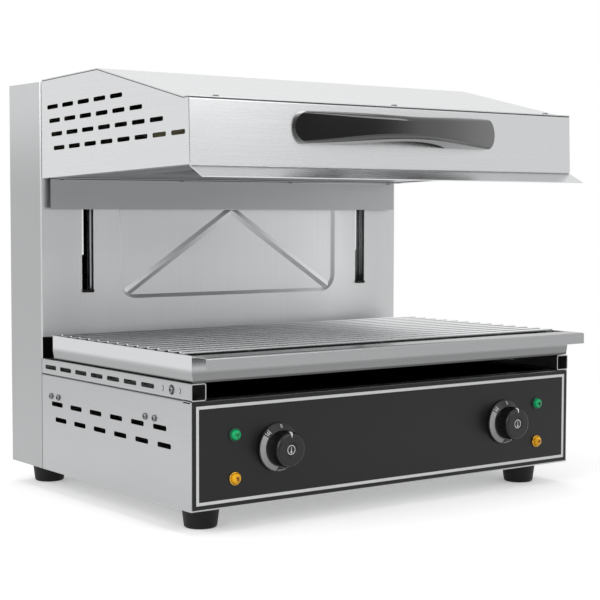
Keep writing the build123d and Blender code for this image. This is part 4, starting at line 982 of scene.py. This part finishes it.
@dataclass
class Dial(Part):
    """A fixed ring behind a knob with its printed scale, and the marks on the knob itself."""

    x: float
    name: str
    height: float = UNDER + 63.8 * MM
    bezel_radius: float = 28.75 * MM
    bezel_edge: float = 3.0 * MM
    bezel_depth: float = 8.0 * MM
    knob_radius: float = 20.5 * MM
    knob_gap: float = 0.5 * MM
    knob_depth: float = 19.5 * MM
    recess: float = 1.2 * MM
    film: float = 0.06 * MM       # how far the ink stands out, drawn thicker than it is
    # The scale, its angles in degrees anticlockwise from 12 o'clock.
    band: tuple = (22.0 * MM, 27.5 * MM)
    band_ends: tuple = (54.0, 169.0)
    band_steps: int = 48
    tail: tuple = (4, 3, 9)       # gap after the band, step and number of steps
    tail_line: tuple = (1.1 * MM, 0.4 * MM)           # from the band's outer radius
    tail_end: float = 202.0
    dot: tuple = (1.0, 1.7, 1.7, 1.0)                 # how far the dot reaches inwards, in millimetres
    dot_step: float = 2.0
    dot_inset: float = 0.8 * MM
    figures: tuple = (("0", -3.0), ("6", 43.5))
    figure_size: float = 6.4 * MM
    ticks: tuple = (37.5, 48.5)
    tick_width: float = 1.6
    tick_inset: float = 0.4 * MM
    # The knob. Pointer: radius, depth behind the knob's front and half width, in millimetres.
    pointer: tuple = ((14.4, 0.0, 0.35), (16.9, 0.0, 0.8), (18.9, 0.7, 1.25), (20.0, 2.5, 1.5),
                      (20.5, 4.5, 1.5))
    pointer_film: float = 0.09 * MM                   # how far its ink stands out
    gauge_ring: tuple = (5.6 * MM, 4.7 * MM)
    bulb: tuple = (-2.4 * MM, 1.3 * MM)               # height and radius
    stem: tuple = (0.4 * MM, -1.5 * MM, 3.2 * MM)     # half width, low and high
    ribs: int = 48
    rib: tuple = (0.9 * MM, 0.9 * MM, 14.0 * MM)      # width, height and length of a grip rib
    rib_inset: float = 1.5 * MM

    def on_cone(self, angle: float, radius: float, lift: float) -> Vector:
        """Finds a place on the ring's cone.

        Args:
            angle: Degrees anticlockwise from 12 o'clock, as the user sees it.
            radius: Distance from the knob's line.
            lift: Height over the surface.

        Returns:
            The place.
        """
        rise = (self.bezel_radius - radius) / (self.bezel_radius - self.knob_radius)
        depth = self.bezel_edge + (self.bezel_depth - self.bezel_edge) * rise + lift
        turn = math.radians(angle)
        return Vector((self.x - radius * math.sin(turn), FACE - depth, self.height + radius * math.cos(turn)))

    def ribbon(self, name: str, rails: list[tuple]) -> Piece:
        """Makes a thin closed strip of ink on the cone.

        Args:
            name: The piece's name.
            rails: For each step, an angle with the inner and the outer radius.

        Returns:
            The piece.
        """
        return sweep(name, [self.on_cone(angle, radius, lift) for angle, inner, outer in rails
                            for lift in (-self.film, self.film) for radius in (inner, outer)])

    def build_scale(self) -> None:
        """Prints the band, its tail, the ticks and the figures on the ring."""
        inner, outer = self.band
        start, end = self.band_ends
        gap, degrees, steps = self.tail
        band = self.ribbon("scale_band_" + self.name, [
            (start + (end - start) * step / self.band_steps, inner, outer)
            for step in range(self.band_steps + 1)])
        seat(paint(band, self.finishes.band), "base", "nylon")
        line = [(end + gap + degrees * step, *[outer - inset for inset in self.tail_line])
                for step in range(steps)]
        dot = [(self.tail_end + self.dot_step * step, outer - reach * MM,
                outer - self.dot_inset + reach / 2 * MM) for step, reach in enumerate(self.dot)]
        ticks = [[(side, inner + self.tick_inset, outer) for side in (angle, angle + self.tick_width)]
                 for angle in self.ticks]
        strips = [self.ribbon("strip", part) for part in (line, dot, *ticks)]
        figures = [self.figure(text, angle) for text, angle in self.figures]
        scale = join("scale_" + self.name, strips + figures)
        seat(paint(scale, self.finishes.ink), "base", "nylon")

    def figure(self, text: str, angle: float) -> Piece:
        """Makes a plain number that lies on the cone.

        Args:
            text: The number.
            angle: Degrees anticlockwise from 12 o'clock.

        Returns:
            The number as a mesh.
        """
        curve = bpy.data.curves.new("figure", "FONT")
        curve.body = text
        curve.size = self.figure_size
        curve.align_x = "CENTER"
        curve.align_y = "CENTER"
        curve.extrude = self.film
        lines = mesh_object("figure_line", curve)
        mesh = bpy.data.meshes.new_from_object(lines.evaluated_get(bpy.context.evaluated_depsgraph_get()))
        bpy.data.objects.remove(lines)
        radius = sum(self.band) / 2
        here = self.on_cone(angle, radius, 0)
        outwards = (self.on_cone(angle, radius + MM, 0) - here).normalized()
        sideways = (self.on_cone(angle - 1, radius, 0) - here).normalized()
        front = sideways.cross(outwards)
        turn = Matrix((sideways, outwards, front)).transposed().to_4x4()
        mesh.transform(Matrix.Translation(here) @ turn)
        return mesh_object("figure", mesh)

    def build_knob_marks(self) -> None:
        """Fills in the pointer on the knob's edge and the ring and gauge mark in its dish."""
        front = FACE - self.bezel_depth - self.knob_gap - self.knob_depth
        pointer = sweep("pointer", [
            (self.x + side * half * MM, front + back * MM - lift,
             self.height + radius * MM + (lift if back else 0))
            for radius, back, half in self.pointer for lift in (-self.film, self.pointer_film)
            for side in (-1, 1)])
        floor = front + self.recess
        drop, size = self.bulb
        half, low, high = self.stem
        ring = disc("ring", self.x, floor, self.height, *self.gauge_ring, self.film)
        bulb = disc("bulb", self.x, floor, self.height + drop, size, 0.0, self.film)
        stem = block("stem", (self.x - half, self.x + half), (floor - self.film, floor + self.film),
                     (self.height + low, self.height + high))
        marks = join("knob_marks_" + self.name, [pointer, ring, bulb, stem])
        seat(paint(marks, self.finishes.ink), "knob_" + self.name, "nylon")

    def build_ribs(self) -> None:
        """Grows the grip ribs round the knob's side."""
        width, height, length = self.rib
        ribs = grow("knob_ribs_" + self.name, rib_ring_tree(), self.finishes.knob, {
            "Ribs": self.ribs, "Radius": self.knob_radius, "Width": width, "Height": height,
            "Length": length})
        middle = FACE - self.bezel_depth - self.knob_gap - self.rib_inset - length / 2
        turn = Matrix.Rotation(math.pi / 2, 4, "X")
        ribs.data.transform(Matrix.Translation((self.x, middle, self.height)) @ turn)
        soften(ribs)
        seat(ribs, "knob_" + self.name, "knob_black")


@dataclass
class Lamp:
    """A pair of pilot lamps at one height: domed lenses with their rims."""

    name: str
    over_base: float
    spacing: float = 483 * MM
    # Outlines: radius and depth behind the panel, in millimetres.
    lens: tuple = ((5.0, 22.0), (5.0, 0.0), (6.0, 0.0), (6.0, -2.9), (5.85, -3.9), (5.4, -4.9), (4.6, -5.8),
                   (3.5, -6.45), (2.2, -6.85), (1.0, -6.97))
    collar: tuple = ((6.05, 0.0), (8.0, 0.0), (8.0, -1.1), (7.75, -1.7), (7.3, -2.05), (6.7, -2.1),
                     (6.3, -1.8), (6.05, -1.2))

    def build(self, lens: Material, rim: Material) -> None:
        """Makes the lenses and the rims of the pair.

        Args:
            lens: The finish of the lens.
            rim: The finish of the rim.
        """
        for title, outline, material, slot, node, closed in (
                ("lens_", self.lens, lens, "lens_" + self.name, "lamps_" + self.name, False),
                ("lamp_rims_", self.collar, rim, "lamp_rim", "lamp_bezels", True)):
            halves = [turned(title, side * self.spacing / 2, UNDER + self.over_base, outline, closed)
                      for side in (-1, 1)]
            piece = paint(join(title + self.name, halves), material)
            soften(piece, 40)
            seat(piece, "base", slot, node)


@dataclass
class ControlFront(Part):
    """Dark front of the base with its printed border, lamps and two dials."""

    half_width: float = HALF_WIDTH
    high: float = UNDER + 124 * MM
    inset: float = 6.5 * MM
    top_inset: float = 4.8 * MM
    line: float = 3.6 * MM
    film: float = 0.05 * MM       # how far the ink stands out, drawn thicker than it is
    knob_x: float = 181 * MM
    lamps: tuple = (("green", 83.5 * MM), ("amber", 33.0 * MM))      # with their height over the base

    def build_border(self) -> None:
        """Prints the light line round the front."""
        loops = []
        for step in (0, self.line):
            side, low = self.half_width - self.inset - step, UNDER + self.inset + step
            top = self.high - self.top_inset - step
            loops += [(-side, low), (side, low), (side, top), (-side, top)]
        points = [(x, FACE + depth, z) for depth in (-self.film, self.film) for x, z in loops]
        faces = []
        for here in range(4):
            after = (here + 1) % 4
            faces += [(here + one, after + one, after + two, here + two)
                      for one, two in ((0, 4), (8, 12), (0, 8), (4, 12))]
        border = mesh_from("front_border", points, faces)
        seat(paint(border, self.finishes.ink), "base", "nylon")

    def build(self) -> None:
        """Dresses the front, its lamps and its knobs, and prints the scales."""
        dress(self.finishes.film, "control_fascia")
        dress(self.finishes.knob, "knob_left", "knob_right", "knob_bezels")
        lenses = ((self.finishes.green, self.finishes.green_rim), (self.finishes.amber, self.finishes.rim))
        for lamp, looks in zip(self.lamps, lenses):
            Lamp(*lamp).build(*looks)
        self.build_border()
        for name, side in (("left", -1), ("right", 1)):
            dial = Dial(self.finishes, side * self.knob_x, name)
            dial.build_scale()
            dial.build_knob_marks()
            dial.build_ribs()


@dataclass
class Screws(Part):
    """Pan-head screws on the casing."""

    head_radius: float = 4.0 * MM
    head_height: float = 2.4 * MM
    small: float = 0.75           # share of the size for the screws under the hood
    half_width: float = HALF_WIDTH
    side_spots: tuple = ((79.6, 98.0), (100.4, 98.0), (317.0, 98.0), (336.4, 98.0), (41.3, 135.0))
    brow: tuple = (-350.7 * MM, 76.2 * MM)            # row of screws, from the rear lower edge
    brow_x: float = 261 * MM
    plate_x: tuple = (275 * MM, 92 * MM)
    plate_row: tuple = (349.0 * MM, -0.1 * MM)
    back_x: tuple = (100 * MM, 284 * MM)
    back_rows: tuple = (30 * MM, 250 * MM, 490 * MM)

    def heads(self, name: str, spots: list, share: float = 1.0) -> Piece:
        """Grows screw heads at given places.

        Args:
            name: The piece's name.
            spots: Places, each with the direction that its head faces.
            share: Share of the usual size.

        Returns:
            The heads as one object.
        """
        base = bpy.data.meshes.new(name + "_spots")
        base.from_pydata([tuple(place) for place, _ in spots], [], [])
        facing = base.attributes.new("facing", "FLOAT_VECTOR", "POINT")
        facing.data.foreach_set("vector", [part for _, way in spots for part in way])
        heads = grow(name, screw_tree(), self.finishes.screw, {
            "Head Radius": self.head_radius * share, "Head Height": self.head_height * share}, base)
        soften(heads, 30)
        return heads

    def build(self) -> None:
        """Makes the screws of the base and of the hood in place of their CAD nodes, and the cover's."""
        spots = [((side * self.half_width, FACE + y * MM, UNDER + z * MM), (side, 0, 0))
                 for side in (-1, 1) for y, z in self.side_spots]
        seat(self.heads("screws_base", spots), "base", "screw_steel", "side_screws")
        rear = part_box("column_back")[1].y
        spots = [((side * x, rear, UNDER + z), (0, 1, 0)) for side in (-1, 1) for x in self.back_x
                 for z in self.back_rows]
        seat(self.heads("screws_cover", spots), "base", "screw_steel")
        spots = [(HOOD_CORNER + HOOD_TILT @ Vector((x, *self.brow)), HOOD_TILT @ Vector((0, 0, 1)))
                 for x in (-self.brow_x, 0, self.brow_x)]
        brow = self.heads("screws_brow", spots)
        spots = [((side * x, FACE + self.plate_row[0], HOOD_CORNER.z + self.plate_row[1]), (0, 0, -1))
                 for side in (-1, 1) for x in self.plate_x]
        plate = self.heads("screws_plate", spots, self.small)
        hood = paint(join("screws_hood", [brow, plate]), self.finishes.screw)
        soften(hood, 30)
        seat(hood, "hood", "screw_steel", "hood_screws")


@dataclass
class Studio:
    """Pale floor, soft lamps and the camera of the photograph."""

    board: str = "F0F0F0"
    board_light: str = "BEBEBE"   # what the board gives back to the object
    board_half: float = 30.0
    fade: tuple = (0.75, 1.5)     # distances between which the board turns to plain white
    lift: float = 0.27            # light added to the floor, so that the shadow stays pale
    surround: float = 0.6
    room: tuple = (-0.15, -0.985, 0.0)                # from the object to the dark of the room
    room_edge: tuple = (0.6, 0.98)                    # cosines from that line between which it darkens
    room_light: float = 0.16
    lens: float = 91.2
    clip: tuple = (0.05, 60.0)
    azimuth: float = 36.53
    tilt: float = 3.44
    roll: float = 0.13
    place: tuple = (-1.20545, FACE - 1.42565, UNDER + 0.34065)
    # Soft boxes: name, place, what it points at, width and height, watts.
    boxes: tuple = (("soft_box_left", (-2.4, -0.6, 1.6), (0, 0, 0.25), (1.6, 1.6), 26),
                    ("soft_box_front", (0.6, -2.6, 1.5), (0, 0, 0.25), (1.8, 1.2), 18),
                    ("soft_box_top", (0, 0, 2.6), (0, 0, 0), (2.0, 2.0), 22))

    def camera(self) -> None:
        """Puts the camera where the photograph was taken."""
        turn, dip, lean = (math.radians(value) for value in (self.azimuth, self.tilt, self.roll))
        ahead = Vector((math.sin(turn) * math.cos(dip), math.cos(turn) * math.cos(dip), -math.sin(dip)))
        right = Vector((math.cos(turn), -math.sin(turn), 0))
        up = right.cross(ahead)
        across = right * math.cos(lean) + up * math.sin(lean)
        upright = up * math.cos(lean) - right * math.sin(lean)
        data = bpy.data.cameras.new("camera")
        data.lens = self.lens
        data.clip_start, data.clip_end = self.clip
        camera = mesh_object("camera", data)
        camera.matrix_world = Matrix.Translation(self.place) @ Matrix(
            (across, upright, -ahead)).transposed().to_4x4()
        bpy.context.scene.camera = camera

    def floor(self) -> None:
        """Lays the floor: white wherever it is seen, apart from the object's soft shadow."""
        half = self.board_half
        floor = mesh_from("floor", [(-half, -half, 0), (half, -half, 0), (half, half, 0), (-half, half, 0)],
                          [(0, 1, 2, 3)])
        material, tree, plain, place = start_material("matt_white_board")
        fill(tree, plain, {
            "Base Color": linear(self.board_light), "Roughness": 1.0, "Specular IOR Level": 0.0})
        lit = add_node(tree, "ShaderNodeBsdfDiffuse", {"Color": linear(self.board)})
        away = add_node(tree, "ShaderNodeVectorMath", {0: place}, operation="LENGTH")
        far = add_node(tree, "ShaderNodeMapRange", {
            "Value": away, "From Min": self.fade[0], "From Max": self.fade[1]},
            interpolation_type="SMOOTHSTEP")
        white, lift = [add_node(tree, "ShaderNodeEmission", {"Color": WHITE, "Strength": strength})
                       for strength in (1.0, self.lift)]
        near = add_node(tree, "ShaderNodeAddShader", {0: lit, 1: lift})
        shown = add_node(tree, "ShaderNodeMixShader", {0: far, 1: near, 2: white})
        self.show(tree, tree.nodes["Material Output"], plain, shown)
        paint(floor, material)

    def show(self, tree: NodeTree, output: Node, plain: Node, shown: Node) -> None:
        """Shows one shader to the camera, to gloss and to glass, and another to everything else.

        Args:
            tree: The node tree.
            output: Its output node.
            plain: The shader for all other rays.
            shown: The shader for those three.
        """
        path = add_node(tree, "ShaderNodeLightPath").outputs
        rays = add_node(tree, "ShaderNodeMath", {
            0: path["Is Camera Ray"], 1: path["Is Glossy Ray"]}, operation="MAXIMUM")
        rays = add_node(tree, "ShaderNodeMath", {
            0: rays, 1: path["Is Transmission Ray"]}, operation="MAXIMUM")
        mixed = add_node(tree, "ShaderNodeMixShader", {0: rays, 1: plain, 2: shown})
        fill(tree, output, {"Surface": mixed})

    def world(self) -> None:
        """Makes a white surround with the dark of the room behind the camera in its reflections."""
        world = bpy.data.worlds.new("studio")
        world.use_nodes = True
        tree = world.node_tree
        plain = fill(tree, tree.nodes["Background"], {"Color": WHITE, "Strength": self.surround})
        white = add_node(tree, "ShaderNodeBackground", {"Color": WHITE, "Strength": 1.0})
        place = add_node(tree, "ShaderNodeTexCoord").outputs["Generated"]
        toward = add_node(tree, "ShaderNodeVectorMath", {0: place, 1: self.room}, operation="DOT_PRODUCT")
        dark = add_node(tree, "ShaderNodeMapRange", {
            "Value": toward, "From Min": self.room_edge[0], "From Max": self.room_edge[1], "To Min": 1.0,
            "To Max": self.room_light}, interpolation_type="SMOOTHSTEP")
        room = add_node(tree, "ShaderNodeBackground", {"Color": WHITE, "Strength": dark})
        seen = add_node(tree, "ShaderNodeLightPath").outputs["Is Camera Ray"]
        shown = add_node(tree, "ShaderNodeMixShader", {0: seen, 1: room, 2: white})
        self.show(tree, tree.nodes["World Output"], plain, shown)
        world.cycles.sampling_method = "NONE"
        bpy.context.scene.world = world

    def lamp(self, name: str, place: tuple, aim: tuple, size: tuple, power: float) -> None:
        """Hangs one soft box.

        Args:
            name: The lamp's name.
            place: Where it hangs.
            aim: What it points at.
            size: Width and height.
            power: Watts.
        """
        data = bpy.data.lights.new(name, "AREA")
        data.shape = "RECTANGLE"
        data.size, data.size_y = size
        data.energy = power
        lamp = mesh_object(name, data)
        lamp.location = place
        lamp.rotation_euler = (Vector(aim) - Vector(place)).to_track_quat("-Z", "Y").to_euler()

    def build(self) -> None:
        """Sets up the whole studio."""
        self.camera()
        self.floor()
        self.world()
        for box in self.boxes:
            self.lamp(*box)
        bpy.context.scene.view_settings.view_transform = "Standard"


def main() -> None:
    logging.basicConfig(level=logging.INFO, format="%(message)s")
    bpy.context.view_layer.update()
    Studio().build()
    finishes = Finishes()
    casing = Casing(finishes)
    casing.dress()
    casing.build_joints()
    workings = Workings(finishes)
    workings.dress()
    workings.build_cables()
    PanAndGrid(finishes).build()
    ControlFront(finishes).build()
    dress(finishes.handle, "handle")
    Screws(finishes).build()


if __name__ == "__main__":
    main()
